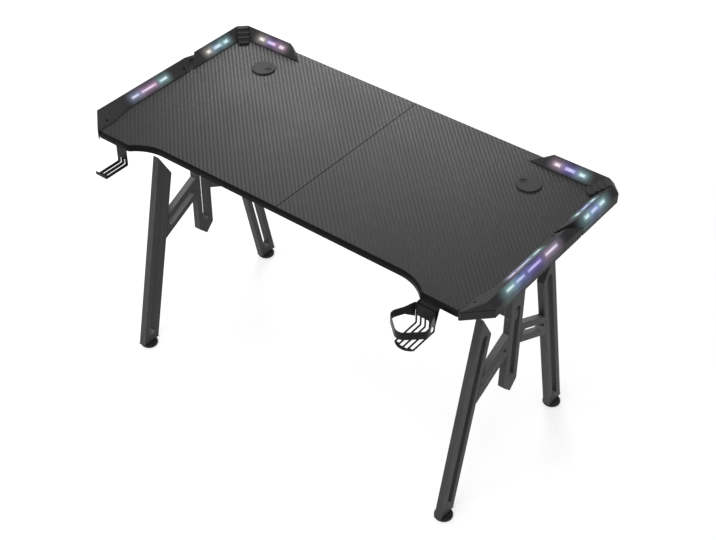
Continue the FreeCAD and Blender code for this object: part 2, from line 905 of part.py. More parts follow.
def make_upright():
    """Right upright, with a pointed foot, open under the top bar and slotted through."""
    half = tube_width / 2
    outline = [
        frame_point(half, bar_bottom),
        frame_point(-half, bar_bottom),
        frame_point(-half, upright_tip_height + half),
        frame_point(0, upright_tip_height),
        frame_point(half, upright_tip_height + half),
    ]
    low = frame_point(0, upright_slot_bottom)
    high = frame_point(0, upright_slot_top)
    inside = [point + UP * overrun for point in outline[:2]] + outline[2:]
    return tube(outline, inside, UP, (low, high), upright_slot_width, [cross_bolt_hole()])


def make_brace():
    """Right rear brace, open at both ends, from the upright out and down to the leg."""
    slope = math.tan(math.radians(brace_slope))
    lean = math.tan(math.radians(leg_lean))
    near = tube_width / 2
    rise = tube_width / 2 / math.cos(math.radians(brace_slope))

    def leg_end(level):
        start = leg_line(level + slope * near) - leg_half()
        y = start / (1 - slope * lean)
        return frame_point(y, level + slope * near - slope * y)

    top = brace_height + rise
    bottom = brace_height - rise
    outline = [frame_point(near, top), leg_end(top), leg_end(bottom), frame_point(near, bottom)]
    axis = Vector(0, math.cos(math.radians(brace_slope)), -math.sin(math.radians(brace_slope)))
    first = frame_point(near, brace_height) + axis * brace_slot_margin
    last = leg_end(brace_height) - axis * brace_slot_margin
    past = axis * overrun
    inside = [outline[0] - past, outline[1] + past, outline[2] + past, outline[3] - past]
    return tube(outline, inside, axis, (first, last), brace_slot_width, [])


def make_leg_plug():
    """Plug in the foot of the right rear leg, bored for the levelling foot."""
    shrink = tube_wall + leg_plug_fit
    half = leg_half() - shrink / math.cos(math.radians(leg_lean))
    top = leg_clearance + leg_plug_height
    ring = [
        frame_point(leg_line(leg_clearance) + half, leg_clearance),
        frame_point(leg_line(top) + half, top),
        frame_point(leg_line(top) - half, top),
        frame_point(leg_line(leg_clearance) - half, leg_clearance),
    ]
    core = prism(ring, RIGHT * (tube_depth - 2 * shrink))
    core.translate(RIGHT * shrink)
    low = leg_clearance - leg_plug_flange
    flange = box(
        Vector(frame_inner_x, leg_foot_reach - leg_half(), low),
        Vector(frame_outer_x, leg_foot_reach + leg_half(), leg_clearance),
    )
    bore = Part.makeCylinder(
        foot_stem_radius + running_clearance,
        leg_plug_height + 2 * overrun,
        Vector(frame_x, leg_foot_reach, low - overrun),
        UP,
    )
    return core.fuse(flange).removeSplitter().cut(bore)


def make_foot():
    """Right rear levelling foot: round pad, collar and stem."""
    place = Vector(frame_x, leg_foot_reach, 0)
    collar_top = leg_clearance - leg_plug_flange - foot_stop_gap
    straight = Part.makeCylinder(foot_radius, foot_pad_height - foot_pad_chamfer, place, UP)
    top = Part.makeCone(
        foot_radius,
        foot_radius - foot_pad_chamfer,
        foot_pad_chamfer,
        place + UP * (foot_pad_height - foot_pad_chamfer),
        UP,
    )
    collar = Part.makeCylinder(foot_collar_radius, collar_top, place, UP)
    stem = Part.makeCylinder(foot_stem_radius, collar_top + foot_stem_length, place, UP)
    return straight.fuse([top, collar, stem]).removeSplitter()


# Bars and rails under the worktop

def top_bar_screw_seats():
    """Seats of the screws through the right top bar."""
    seats = []
    for y in top_bar_screw_places:
        seats.append(Vector(frame_x, y, bar_bottom))
        seats.append(Vector(frame_x, -y, bar_bottom))
    return seats


def rail_screw_seats():
    """Seats of the screws through the right half of the rear rail."""
    return [Vector(x, rail_spread / 2, bar_bottom) for x in rail_screw_places]


def tab_bolt_seat():
    """Seat of the bolt through the right tab of the rear rail."""
    x = frame_x - top_bar_width / 2 + rail_tab_reach / 2
    return Vector(x, rail_spread / 2, bar_bottom - rail_tab_thickness)


def tab_bolt_hole():
    """Hole for the bolt through a rail's tab and the top bar's lower wall."""
    length = overrun + tab_bolt_grip + hole_clearance
    return Part.makeCylinder(bolt_radius + hole_clearance, length, tab_bolt_seat() + DOWN * overrun, UP)


def bar_cuts(seats):
    """Holes for long screws through a bar."""
    return [wood_screw_hole(seat, top_bar_height + overrun) for seat in seats]


def make_top_bar():
    """Right top bar, a closed tube across the top of the upright."""
    half = Vector(top_bar_width / 2, top_bar_length / 2, top_bar_height / 2)
    middle = Vector(frame_x, 0, bar_bottom + top_bar_height / 2)
    solid = box(middle - half, middle + half)
    solid = solid.makeFillet(tube_round, edges_along(solid, BACK))
    wall = Vector(tube_wall, tube_wall, tube_wall)
    inside = box(middle - half + wall, middle + half - wall)
    tab_holes = [tab_bolt_hole(), turned_round(tab_bolt_hole())]
    return solid.cut([inside] + bar_cuts(top_bar_screw_seats()) + tab_holes)


def make_rail():
    """Rear rail between the top bars, with a tab under each of them."""
    reach = frame_x - top_bar_width / 2
    half = Vector(reach, rail_width / 2, top_bar_height / 2)
    middle = Vector(0, rail_spread / 2, bar_bottom + top_bar_height / 2)
    solid = box(middle - half, middle + half)
    solid = solid.makeFillet(tube_round, edges_along(solid, RIGHT))
    wall = Vector(-overrun, tube_wall, tube_wall)
    solid = solid.cut(box(middle - half + wall, middle + half - wall))
    near = (rail_spread - rail_tab_width) / 2
    far = (rail_spread + rail_tab_width) / 2
    low = Vector(reach - rail_tab_overlap, near, bar_bottom - rail_tab_thickness)
    high = Vector(reach + rail_tab_reach, far, bar_bottom)
    tab = box(low, high).cut(tab_bolt_hole())
    holes = bar_cuts(rail_screw_seats())
    holes += [mirrored(hole) for hole in holes]
    return solid.fuse([tab, mirrored(tab)]).cut(holes)


def make_cross_bar():
    """Tube between the uprights, its ends inside their slots."""
    reach = frame_outer_x - tube_wall - cross_bar_end_gap
    half = Vector(reach, cross_bar_width / 2, cross_bar_height / 2)
    middle = Vector(0, 0, cross_bar_top() - cross_bar_height / 2)
    solid = box(middle - half, middle + half)
    solid = solid.makeFillet(tube_round, edges_along(solid, RIGHT))
    wall = Vector(tube_wall, tube_wall, tube_wall)
    inside = box(middle - half + wall, middle + half - wall)
    return solid.cut([inside, cross_bolt_hole(), mirrored(cross_bolt_hole())])


def make_cross_bolt():
    """Bolt through the right upright and the cross bar."""
    head = six_sided(bolt_head_radius, cross_bolt_seat(), BACK * bolt_head_height)
    shank = Part.makeCylinder(bolt_radius, tube_width, cross_bolt_seat(), FORTH)
    return head.fuse(shank).removeSplitter()


def make_tab_bolt():
    """Bolt through a rail's tab into the top bar."""
    head = six_sided(bolt_head_radius, tab_bolt_seat(), DOWN * bolt_head_height)
    shank = Part.makeCylinder(bolt_radius, tab_bolt_grip, tab_bolt_seat(), UP)
    return head.fuse(shank).removeSplitter()


# Hook and cup holder

def bent_bracket(x, front, width, sheet, bend, flange, drop, reach, lip):
    """Bent strip: flange under the worktop, hanging plate, arm and turned-up lip."""
    low = underside - drop
    tip = front - reach
    profile = [
        (front + flange, underside),
        (front + flange, underside - sheet),
        (front + sheet, underside - sheet),
        (front + sheet, low),
        (tip, low),
        (tip, low + lip),
        (tip + sheet, low + lip),
        (tip + sheet, low + sheet),
        (front, low + sheet),
        (front, underside),
    ]
    if lip == sheet:
        profile = profile[:6] + profile[8:]
    left = x - width / 2
    solid = prism([Vector(left, y, z) for y, z in profile], RIGHT * width)
    outer = [Vector(left, front, underside), Vector(left, front + sheet, low)]
    inner = [Vector(left, front + sheet, underside - sheet), Vector(left, front, low + sheet)]
    if lip > sheet:
        outer.append(Vector(left, tip, low))
        inner.append(Vector(left, tip + sheet, low + sheet))
    solid = solid.makeFillet(bend, edges_through(solid, RIGHT, outer))
    return solid.makeFillet(bend - sheet, edges_through(solid, RIGHT, inner))


def slot_box(x, width, tip, front, sheet, low, rise):
    """Cutter for one slot along an arm and up into its plate."""
    near = Vector(x - width / 2, tip, low - overrun)
    return box(near, Vector(x + width / 2, front + sheet + overrun, low + rise))


def bracket_screw_seats(x, front, flange, sheet):
    """Seats of the two screws in a bracket's flange."""
    y = front + (flange + sheet) / 2
    half = accessory_screw_pitch / 2
    return [Vector(x - half, y, underside - sheet), Vector(x + half, y, underside - sheet)]


def hook_screw_seats():
    """Screw seats of the hook, as if it hung on the right."""
    return bracket_screw_seats(half_length - hook_inset, hook_setback - half_depth, hook_flange, hook_sheet)


def make_hook():
    """Headphone hook, as if it hung on the right."""
    x = half_length - hook_inset
    front = hook_setback - half_depth
    low = underside - hook_drop
    solid = bent_bracket(
        x, front, hook_width, hook_sheet, hook_bend, hook_flange, hook_drop, hook_reach, hook_lip
    )
    slot = (hook_width - (hook_slot_count + 1) * hook_bar_width) / hook_slot_count
    cuts = [wood_screw_hole(seat, hook_sheet) for seat in hook_screw_seats()]
    for step in range(hook_slot_count):
        middle = x + (step - (hook_slot_count - 1) / 2) * (slot + hook_bar_width)
        tip = front - hook_reach + hook_rim
        cuts.append(slot_box(middle, slot, tip, front, hook_sheet, low, hook_slot_rise))
    return solid.cut(cuts)


def cup_screw_seats():
    """Screw seats of the cup holder, about the middle of what its corner cut leaves of the flange."""
    middle = half_length - cup_inset + (cup_top_width / 2 - cup_width / 2 + cup_corner_cut) / 2
    return bracket_screw_seats(middle, -half_depth, cup_flange, cup_sheet)


def make_cup_bracket():
    """Bracket of the cup holder, with a slotted base that has a round front."""
    x = half_length - cup_inset
    front = -half_depth
    tip = front - cup_base_reach
    low = underside - cup_drop
    solid = bent_bracket(
        x, front, cup_top_width, cup_sheet, cup_bend, cup_flange, cup_drop, cup_base_reach, cup_sheet
    )
    half = cup_width / 2
    wide = cup_top_width / 2
    straight = low + cup_straight_rise
    sides = [
        (-half, 0), (half, 0), (half, straight), (wide, underside),
        (cup_corner_cut - half, underside), (-half, underside - cup_corner_drop),
    ]
    outline = [Vector(x + offset, -worktop_depth, z) for offset, z in sides]
    solid = solid.common(prism(outline, BACK * worktop_depth))
    shoulder = tip + cup_base_bulge
    plan = [(half, shoulder), (wide, shoulder), (wide, 0), (-wide, 0), (-wide, shoulder), (-half, shoulder)]
    places = [Vector(x + offset, y, 0) for offset, y in plan]
    edges = [Part.LineSegment(a, b).toShape() for a, b in zip(places, places[1:])]
    edges.append(Part.Arc(places[-1], Vector(x, tip, 0), places[0]).toShape())
    solid = solid.common(Part.Face(Part.Wire(edges)).extrude(UP * worktop_height))
    bulge = (half ** 2 + cup_base_bulge ** 2) / (2 * cup_base_bulge)
    slot = (cup_width - (cup_slot_count + 1) * cup_bar_width) / cup_slot_count
    cuts = [wood_screw_hole(seat, cup_sheet) for seat in cup_screw_seats()]
    for step in range(cup_slot_count):
        offset = (step - (cup_slot_count - 1) / 2) * (slot + cup_bar_width)
        start = tip + cup_rim + bulge - math.sqrt(bulge ** 2 - offset ** 2)
        cuts.append(slot_box(x + offset, slot, start, front, cup_sheet, low, cup_slot_rise))
    return solid.cut(cuts)


def rounded_loop(points, rounds):
    """Closed wire through corners, each rounded by an arc unless its radius is zero."""
    edges = []
    ends = []
    for k, (corner, radius) in enumerate(zip(points, rounds)):
        before = points[k - 1] - corner
        after = points[(k + 1) % len(points)] - corner
        before.normalize()
        after.normalize()
        middle = before + after
        middle.normalize()
        half_angle = math.acos(before.dot(after)) / 2
        reach = radius / math.tan(half_angle)
        first = corner + before * reach
        last = corner + after * reach
        if radius > 0:
            top = corner + middle * (radius / math.sin(half_angle) - radius)
            edges.append(Part.Arc(first, top, last).toShape())
        ends.append((first, last))
    for k, (first, last) in enumerate(ends):
        edges.append(Part.LineSegment(last, ends[(k + 1) % len(ends)][0]).toShape())
    return Part.Wire(Part.sortEdges(edges)[0])


def ring_loop():
    """Outer edge of the cup holder's strap in plan: flat back, narrow neck and wide bow."""
    x = half_length - cup_inset
    low = underside - cup_ring_drop - cup_ring_height
    corners = [
        (cup_ring_back_width / 2, 0, 0),
        (cup_ring_neck_width / 2, cup_ring_neck_reach, cup_ring_neck_round),
        (cup_ring_width / 2, cup_ring_wide_reach, cup_ring_side_round),
    ]
    front = [(0, cup_ring_reach, cup_ring_front_round)]
    left = [(-half, reach, radius) for half, reach, radius in reversed(corners)]
    loop = corners + front + left
    points = [Vector(x + offset, -half_depth - reach, low) for offset, reach, radius in loop]
    return rounded_loop(points, [radius for offset, reach, radius in loop])


def ring_web(side):
    """Web under the strap's neck on one side, deepest at the plate."""
    x = half_length - cup_inset
    low = underside - cup_ring_drop - cup_ring_height
    back = Vector(x + side * cup_ring_back_width / 2, -half_depth, low)
    neck = Vector(x + side * cup_ring_neck_width / 2, -half_depth - cup_ring_neck_reach, low)
    along = neck - back
    inward = UP.cross(along) * -side
    inward.normalize()
    return prism([back, neck, back + DOWN * cup_web_drop], inward * cup_sheet)


def make_cup_ring():
    """Strap of the cup holder, bent into a loop in front of its plate, with a web under each neck."""
    outer = Part.Face(ring_loop())
    strap = outer.cut(outer.makeOffset2D(-cup_sheet)).extrude(UP * cup_ring_height)
    return strap.fuse([ring_web(1), ring_web(-1)]).removeSplitter()


# Light controller

def controller_ear_seats():
    """Seats of the two screws in the controller's ears."""
    reach = controller_length / 2 + controller_ear_length / 2
    z = underside - controller_ear_thickness
    return [Vector(controller_x - reach, controller_y, z), Vector(controller_x + reach, controller_y, z)]


def button_start():
    """Outer end of the mode button."""
    z = underside - controller_height / 2
    return Vector(controller_x - button_place, controller_y - controller_width / 2 - button_proud, z)


def socket_start():
    """Lower end of the power socket, which faces down."""
    z = underside - controller_height - controller_lid_thickness - socket_proud
    return Vector(controller_x + socket_place, controller_y, z)


def socket_cylinder(radius, length):
    """Cylinder on the power socket's axis, up from its lower end."""
    return Part.makeCylinder(radius, length, socket_start(), UP)


def make_controller_case():
    """Box under the worktop with two ears, open below, with a hole for the button."""
    half = Vector(controller_length / 2, controller_width / 2, 0)
    middle = Vector(controller_x, controller_y, underside)
    solid = box(middle - half + DOWN * controller_height, middle + half)
    ears = box(
        middle - Vector(controller_length / 2 + controller_ear_length, controller_ear_width / 2,
                        controller_ear_thickness),
        middle + Vector(controller_length / 2 + controller_ear_length, controller_ear_width / 2, 0),
    )
    wall = Vector(controller_wall, controller_wall, 0)
    inside = box(
        middle - half + wall + DOWN * (controller_height + overrun),
        middle + half - wall + DOWN * controller_wall,
    )
    cuts = [inside]
    cuts += [wood_screw_hole(seat, controller_ear_thickness) for seat in controller_ear_seats()]
    cuts.append(Part.makeCylinder(button_radius + running_clearance, button_length, button_start(), BACK))
    return solid.fuse(ears).removeSplitter().cut(cuts)


def make_controller_lid():
    """Flat lid under the controller's box, with a hole for the power socket."""
    half = Vector(controller_length / 2, controller_width / 2, 0)
    middle = Vector(controller_x, controller_y, underside - controller_height)
    lid = box(middle - half + DOWN * controller_lid_thickness, middle + half)
    return lid.cut(socket_cylinder(socket_radius, socket_length))


def make_button():
    """Round mode button in the front of the controller."""
    return Part.makeCylinder(button_radius, button_length, button_start(), BACK)


def make_socket():
    """Round power socket in the lid of the controller, closed at its inner end."""
    barrel = socket_cylinder(socket_radius, socket_length)
    return barrel.cut(socket_cylinder(socket_bore, socket_length - controller_wall))


# The whole desk

def shared_panel_holes():
    """Holes that both halves of the worktop have."""
    holes = [make_grommet_hole()]
    holes += [guard_screw_hole(place) for place in front_screw_places()]
    holes += [wood_screw_hole(seat, panel_thickness + rear_screw_grip) for seat in rear_screw_seats()]
    holes += [wood_screw_hole(seat, seam_plate_thickness + wood_screw_grip) for seat in seam_screw_seats()]
    long_grip = top_bar_height + wood_screw_grip
    holes += [wood_screw_hole(seat, long_grip) for seat in top_bar_screw_seats()]
    rail_holes = [wood_screw_hole(seat, long_grip) for seat in rail_screw_seats()]
    return holes + rail_holes + [turned_round(hole) for hole in rail_holes]


def save_worktop():
    """The two halves, their edge bands and the plates and screws of the seam."""
    shared = shared_panel_holes()
    cup_holes = [wood_screw_hole(seat, cup_sheet + wood_screw_grip) for seat in cup_screw_seats()]
    cup_holes += [wood_screw_hole(seat, controller_ear_thickness + wood_screw_grip)
                  for seat in controller_ear_seats()]
    hook_holes = [wood_screw_hole(seat, hook_sheet + wood_screw_grip) for seat in hook_screw_seats()]
    save(make_panel(shared + cup_holes), "tabletop_right")
    save(mirrored(make_panel(shared + hook_holes)), "tabletop_left")
    band = make_edge_band()
    save(band, "edge_band_right")
    save(mirrored(band), "edge_band_left")
    save(make_seam_plates(), "seam_plates")
    screws = [wood_screw(seat, seam_plate_thickness + wood_screw_grip) for seat in seam_screw_seats()]
    save(on_both_sides(screws), "seam_screws")


def save_guards():
    """Guards with their caps, windows, light strips and screws."""
    front_strip = light_strip(front_run, front_hollow_shares, front_inner_window_shares)
    side_strip = light_strip(rear_run, rear_hollow_shares, rear_inner_window_shares)
    back_strip = light_strip(back_run, back_hollow_shares, back_inner_window_shares)
    pieces = {
        "rear_{}_guard": make_rear_guard(),
        "front_{}_guard": make_front_guard(),
        "rear_{}_corner_cap": make_corner_cap(),
        "rear_{}_light_windows": group(rear_windows(window_depth, window_proud)),
        "front_{}_light_windows": group(front_windows(window_depth, window_proud)),
        "rear_{}_light_strips": group([side_strip, back_strip]),
        "front_{}_light_strip": front_strip,
    }
    for name, shape in pieces.items():
        save(shape, name.format("right"))
        save(mirrored(shape), name.format("left"))
    save(on_both_sides([guard_screw(place) for place in front_screw_places()]), "front_guard_screws")
    below = [wood_screw(seat, panel_thickness + rear_screw_grip) for seat in rear_screw_seats()]
    save(on_both_sides(below), "rear_guard_screws")


def save_grommets():
    """Liners, caps and plugs of the two cable grommets."""
    pieces = {
        "grommet_liner_{}": make_grommet_liner(),
        "grommet_cap_{}": make_grommet_cap(),
        "cable_plug_{}": make_cable_plug(),
    }
    for name, shape in pieces.items():
        save(shape, name.format("right"))
        save(mirrored(shape), name.format("left"))


def save_frames():
    """End frames, bars, rails, bolts, leg plugs and levelling feet."""
    ends = {"leg": make_leg(), "brace": make_brace(), "foot": make_foot()}
    for name, shape in ends.items():
        for place, turned in (("rear", shape), ("front", turned_round(shape))):
            save(turned, place + "_" + name + "_right")
            save(mirrored(turned), place + "_" + name + "_left")
    for name, shape in (("upright", make_upright()), ("top_bar", make_top_bar())):
        save(shape, name + "_right")
        save(mirrored(shape), name + "_left")
    plug = make_leg_plug()
    save(on_both_sides([plug, turned_round(plug)]), "leg_plugs")
    rail = make_rail()
    save(rail, "rear_rail")
    save(turned_round(rail), "front_rail")
    save(make_cross_bar(), "cross_bar")
    save(on_both_sides([make_cross_bolt()]), "cross_bar_bolts")
    bolt = make_tab_bolt()
    save(on_both_sides([bolt, turned_round(bolt)]), "rail_bolts")
    length = top_bar_height + wood_screw_grip
    screws = [wood_screw(seat, length) for seat in top_bar_screw_seats()]
    for seat in rail_screw_seats():
        screws.append(wood_screw(seat, length))
        screws.append(turned_round(wood_screw(seat, length)))
    save(on_both_sides(screws), "tabletop_screws")


def save_accessories():
    """Headphone hook, cup holder and light controller, with their screws."""
    save(mirrored(make_hook()), "headphone_hook")
    save(make_cup_bracket(), "cup_holder")
    save(make_cup_ring(), "cup_holder_ring")
    save(make_controller_case(), "controller_case")
    save(make_controller_lid(), "controller_lid")
    save(make_button(), "mode_button")
    save(make_socket(), "power_socket")
    screws = [wood_screw(seat, cup_sheet + wood_screw_grip) for seat in cup_screw_seats()]
    screws += [mirrored(wood_screw(seat, hook_sheet + wood_screw_grip)) for seat in hook_screw_seats()]
    ear_grip = controller_ear_thickness + wood_screw_grip
    screws += [wood_screw(seat, ear_grip) for seat in controller_ear_seats()]
    save(group(screws), "accessory_screws")


os.makedirs("parts", exist_ok=True)
save_worktop()
save_guards()
save_grommets()
save_frames()
save_accessories()
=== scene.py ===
import json
import math

import bmesh
import bpy
from bpy.props import FloatProperty, FloatVectorProperty, IntProperty, PointerProperty
from mathutils import Matrix, Vector

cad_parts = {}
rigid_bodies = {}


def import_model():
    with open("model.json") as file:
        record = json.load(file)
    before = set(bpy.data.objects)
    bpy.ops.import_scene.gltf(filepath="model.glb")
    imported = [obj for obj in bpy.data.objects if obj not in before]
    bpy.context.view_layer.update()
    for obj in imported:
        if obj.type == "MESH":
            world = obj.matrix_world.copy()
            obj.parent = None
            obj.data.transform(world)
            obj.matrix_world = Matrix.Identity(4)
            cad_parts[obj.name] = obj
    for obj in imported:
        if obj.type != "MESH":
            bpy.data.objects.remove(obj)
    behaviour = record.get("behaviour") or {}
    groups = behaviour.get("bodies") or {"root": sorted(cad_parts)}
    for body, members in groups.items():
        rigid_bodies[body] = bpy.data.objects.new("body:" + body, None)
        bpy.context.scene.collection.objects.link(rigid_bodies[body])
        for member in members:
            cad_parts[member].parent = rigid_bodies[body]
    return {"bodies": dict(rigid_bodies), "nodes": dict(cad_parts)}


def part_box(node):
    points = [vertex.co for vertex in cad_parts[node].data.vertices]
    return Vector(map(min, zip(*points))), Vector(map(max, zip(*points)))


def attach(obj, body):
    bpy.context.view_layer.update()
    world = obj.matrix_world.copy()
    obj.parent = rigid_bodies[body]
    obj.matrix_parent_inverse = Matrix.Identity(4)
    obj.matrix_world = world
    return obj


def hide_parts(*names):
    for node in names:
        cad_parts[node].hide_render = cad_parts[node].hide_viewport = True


bl_info = {
    "name": "Gaming desk",
    "version": (1, 0, 0),
    "blender": (4, 5, 0),
    "location": "View3D > Sidebar > Desk",
    "description": "Dresses the packed desk with its finishes, small parts, lights and stage",
    "category": "Object",
}

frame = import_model()
nodes = frame["nodes"]
MM = 0.001
SIDES = ("left", "right")
ENDS = ("front", "rear")
WHITE = (1.0, 1.0, 1.0, 1.0)

# Span that holds most values of a noise
NOISE_LOW = 0.3
NOISE_HIGH = 0.7

# Lengths in metres that count as no distance, and an angle in degrees that counts as flat
JOIN_DISTANCE = 0.00001
LEVEL_TOLERANCE = 0.0001
FLAT_TURN = 0.4

# Inset of the guards' ridge from their outer face, in metres
RIDGE_INSET = 0.015

# Rounding along the edges of small pieces, in metres
WINDOW_ROUND = 0.0005
LINER_ROUND = 0.0005
CAP_ROUND = 0.0007
PLUG_ROUND = 0.0006
CASE_ROUND = 0.0006
SOCKET_ROUND = 0.0003


# Settings

def shade(name, value):
    """Setting for the colour of what it is named after."""
    text = "Colour of the " + name.lower()
    return FloatVectorProperty(
        name=name, description=text, default=value, subtype="COLOR", size=3, min=0.0, max=1.0
    )


def length(name, description, value):
    """Setting for a length in metres."""
    return FloatProperty(
        name=name, description=description, default=value, min=0.0, unit="LENGTH", precision=5
    )


def level(name, description, value):
    """Setting for a plain number."""
    return FloatProperty(name=name, description=description, default=value, min=0.0, precision=3)


class DeskFinish(bpy.types.PropertyGroup):
    """Colours and sizes of the desk's finishes."""

    weave_cell: length("Weave cell", "Width of one crossing of the woven film", 0.00339)
    weave_bright: shade("Tows across the desk", (0.029, 0.029, 0.030))
    weave_dark: shade("Tows along the depth", (0.006, 0.006, 0.0065))
    backing: shade("Worktop's underside", (0.030, 0.030, 0.031))
    edge_band: shade("Band round the worktop", (0.005, 0.005, 0.0055))
    guard: shade("Guards and corner caps", (0.036, 0.036, 0.038))
    grommet: shade("Cable grommets", (0.044, 0.045, 0.047))
    steel: shade("Coated tubes", (0.066, 0.066, 0.068))
    accessory: shade("Hook and cup holder", (0.010, 0.010, 0.011))
    fastener: shade("Screws and bolts", (0.10, 0.10, 0.105))
    foot: shade("Foot pads", (0.034, 0.034, 0.035))
    controller: shade("Light controller", (0.028, 0.028, 0.029))
    moulded_round: length("Moulded edge", "Rounding of the guards and corner caps", 0.0008)
    sheet_round: length("Sheet edge", "Rounding of the sheet steel", 0.0004)
    rim_round: length("Worktop rim", "Rounding of the worktop's bevel", 0.0018)
    thread_pitch: length("Thread pitch", "Pitch of the thread on the feet", 0.00125)
    recess_width: length("Recess width", "Width of the cross in the screw heads", 0.0009)
    recess_depth: length("Recess depth", "Depth of the cross in the screw heads", 0.0013)
    round_sides: IntProperty(name="Round sides", description="Sides of each screw", default=24, min=8)


class DeskLight(bpy.types.PropertyGroup):
    """Colours and levels of the light windows."""

    white: shade("Warm white light", (1.0, 0.93, 0.86))
    cyan: shade("Cyan light", (0.62, 0.96, 1.0))
    sky: shade("Pale blue light", (0.46, 0.68, 1.0))
    blue: shade("Blue light", (0.34, 0.36, 1.0))
    violet: shade("Violet light", (0.50, 0.34, 1.0))
    lilac: shade("Lilac light", (0.80, 0.70, 1.0))
    pink: shade("Pink light", (1.0, 0.50, 0.86))
    rose: shade("Pale pink light", (1.0, 0.74, 0.92))
    strength: level("Window light", "Strength of the light in the windows", 0.80)
    glow: level("Glow", "Strength of the glow in the plastic round the windows", 0.15)
    glow_reach: length("Glow reach", "How far the glow goes round a window", 0.042)
    halo: level("Halo", "Strength of the bright rim close to a window", 1.6)
    halo_reach: length("Halo reach", "How far the bright rim goes round a window", 0.013)


class DeskStage(bpy.types.PropertyGroup):
    """Camera, lamps and floor."""

    camera_place: FloatVectorProperty(
        name="Camera", description="Where the camera stands", default=(1.73254, -2.13717, 2.71391),
        subtype="TRANSLATION", size=3,
    )
    azimuth: FloatProperty(
        name="Azimuth", description="Turn of the camera about the desk", default=math.radians(37.73),
        subtype="ANGLE",
    )
    elevation: FloatProperty(
        name="Elevation", description="How far the camera looks down", default=math.radians(40.08),
        subtype="ANGLE",
    )
    roll: FloatProperty(
        name="Roll", description="Turn of the picture", default=math.radians(0.32), subtype="ANGLE"
    )
    lens: FloatProperty(name="Lens", description="Focal length", default=70.86, min=1.0, unit="CAMERA")
    floor: shade("Floor", (0.80, 0.80, 0.80))
    floor_lift: level("Floor lift", "Light of the floor itself, for the camera alone", 0.56)
    sky: level("Sky", "Level of the even light from all round", 0.22)
    back_lamp: level("Back lamp", "Brightness of the wide lamp behind the desk", 5.0)
    top_lamp: level("Top lamp", "Brightness of the lamp above the desk", 0.9)
    front_lamp: level("Front lamp", "Brightness of the lamp at the left front", 2.8)
    fill_lamp: level("Fill lamp", "Brightness of the lamp in front of the desk", 6.0)
    left_lamp: level("Left lamp", "Brightness of the low lamp at the left", 1.8)


def chosen(group):
    """Settings of the finish, the light or the stage."""
    return getattr(bpy.context.scene, "desk_" + group)


# Node trees

class Sheet:
    """Adds nodes to one tree and joins them."""

    def __init__(self, tree):
        self.tree = tree
        tree.nodes.clear()

    def feed(self, socket, value):
        """Join an output or a list of them to a socket, or set the socket's own value."""
        if isinstance(value, list):
            for output in value:
                self.tree.links.new(output, socket)
        elif isinstance(value, bpy.types.NodeSocket):
            self.tree.links.new(value, socket)
        else:
            socket.default_value = value

    def add(self, kind, feeds=None, **settings):
        """New node with its settings and what feeds its sockets."""
        node = self.tree.nodes.new(kind)
        for name, value in settings.items():
            setattr(node, name, value)
        for name, value in (feeds or {}).items():
            self.feed(node.inputs[name], value)
        return node

    def sum(self, operation, a, b=0.0):
        """Result of a sum on numbers."""
        return self.add("ShaderNodeMath", {0: a, 1: b}, operation=operation).outputs[0]

    def product(self, a, b):
        """Product of two numbers."""
        return self.sum("MULTIPLY", a, b)

    def joined(self, x=0.0, y=0.0, z=0.0):
        """Vector from three numbers."""
        return self.add("ShaderNodeCombineXYZ", {0: x, 1: y, 2: z}).outputs[0]

    def between(self, factor, first, second):
        """Number between two numbers."""
        return self.add("ShaderNodeMix", {0: factor, 2: first, 3: second}, data_type="FLOAT").outputs[0]

    def seen(self):
        """One for what the camera sees, also by a mirror or through glass, or else zero."""
        path = self.add("ShaderNodeLightPath").outputs
        found = path["Is Camera Ray"]
        for ray in ("Is Glossy Ray", "Is Transmission Ray"):
            found = self.sum("MAXIMUM", found, path[ray])
        return found


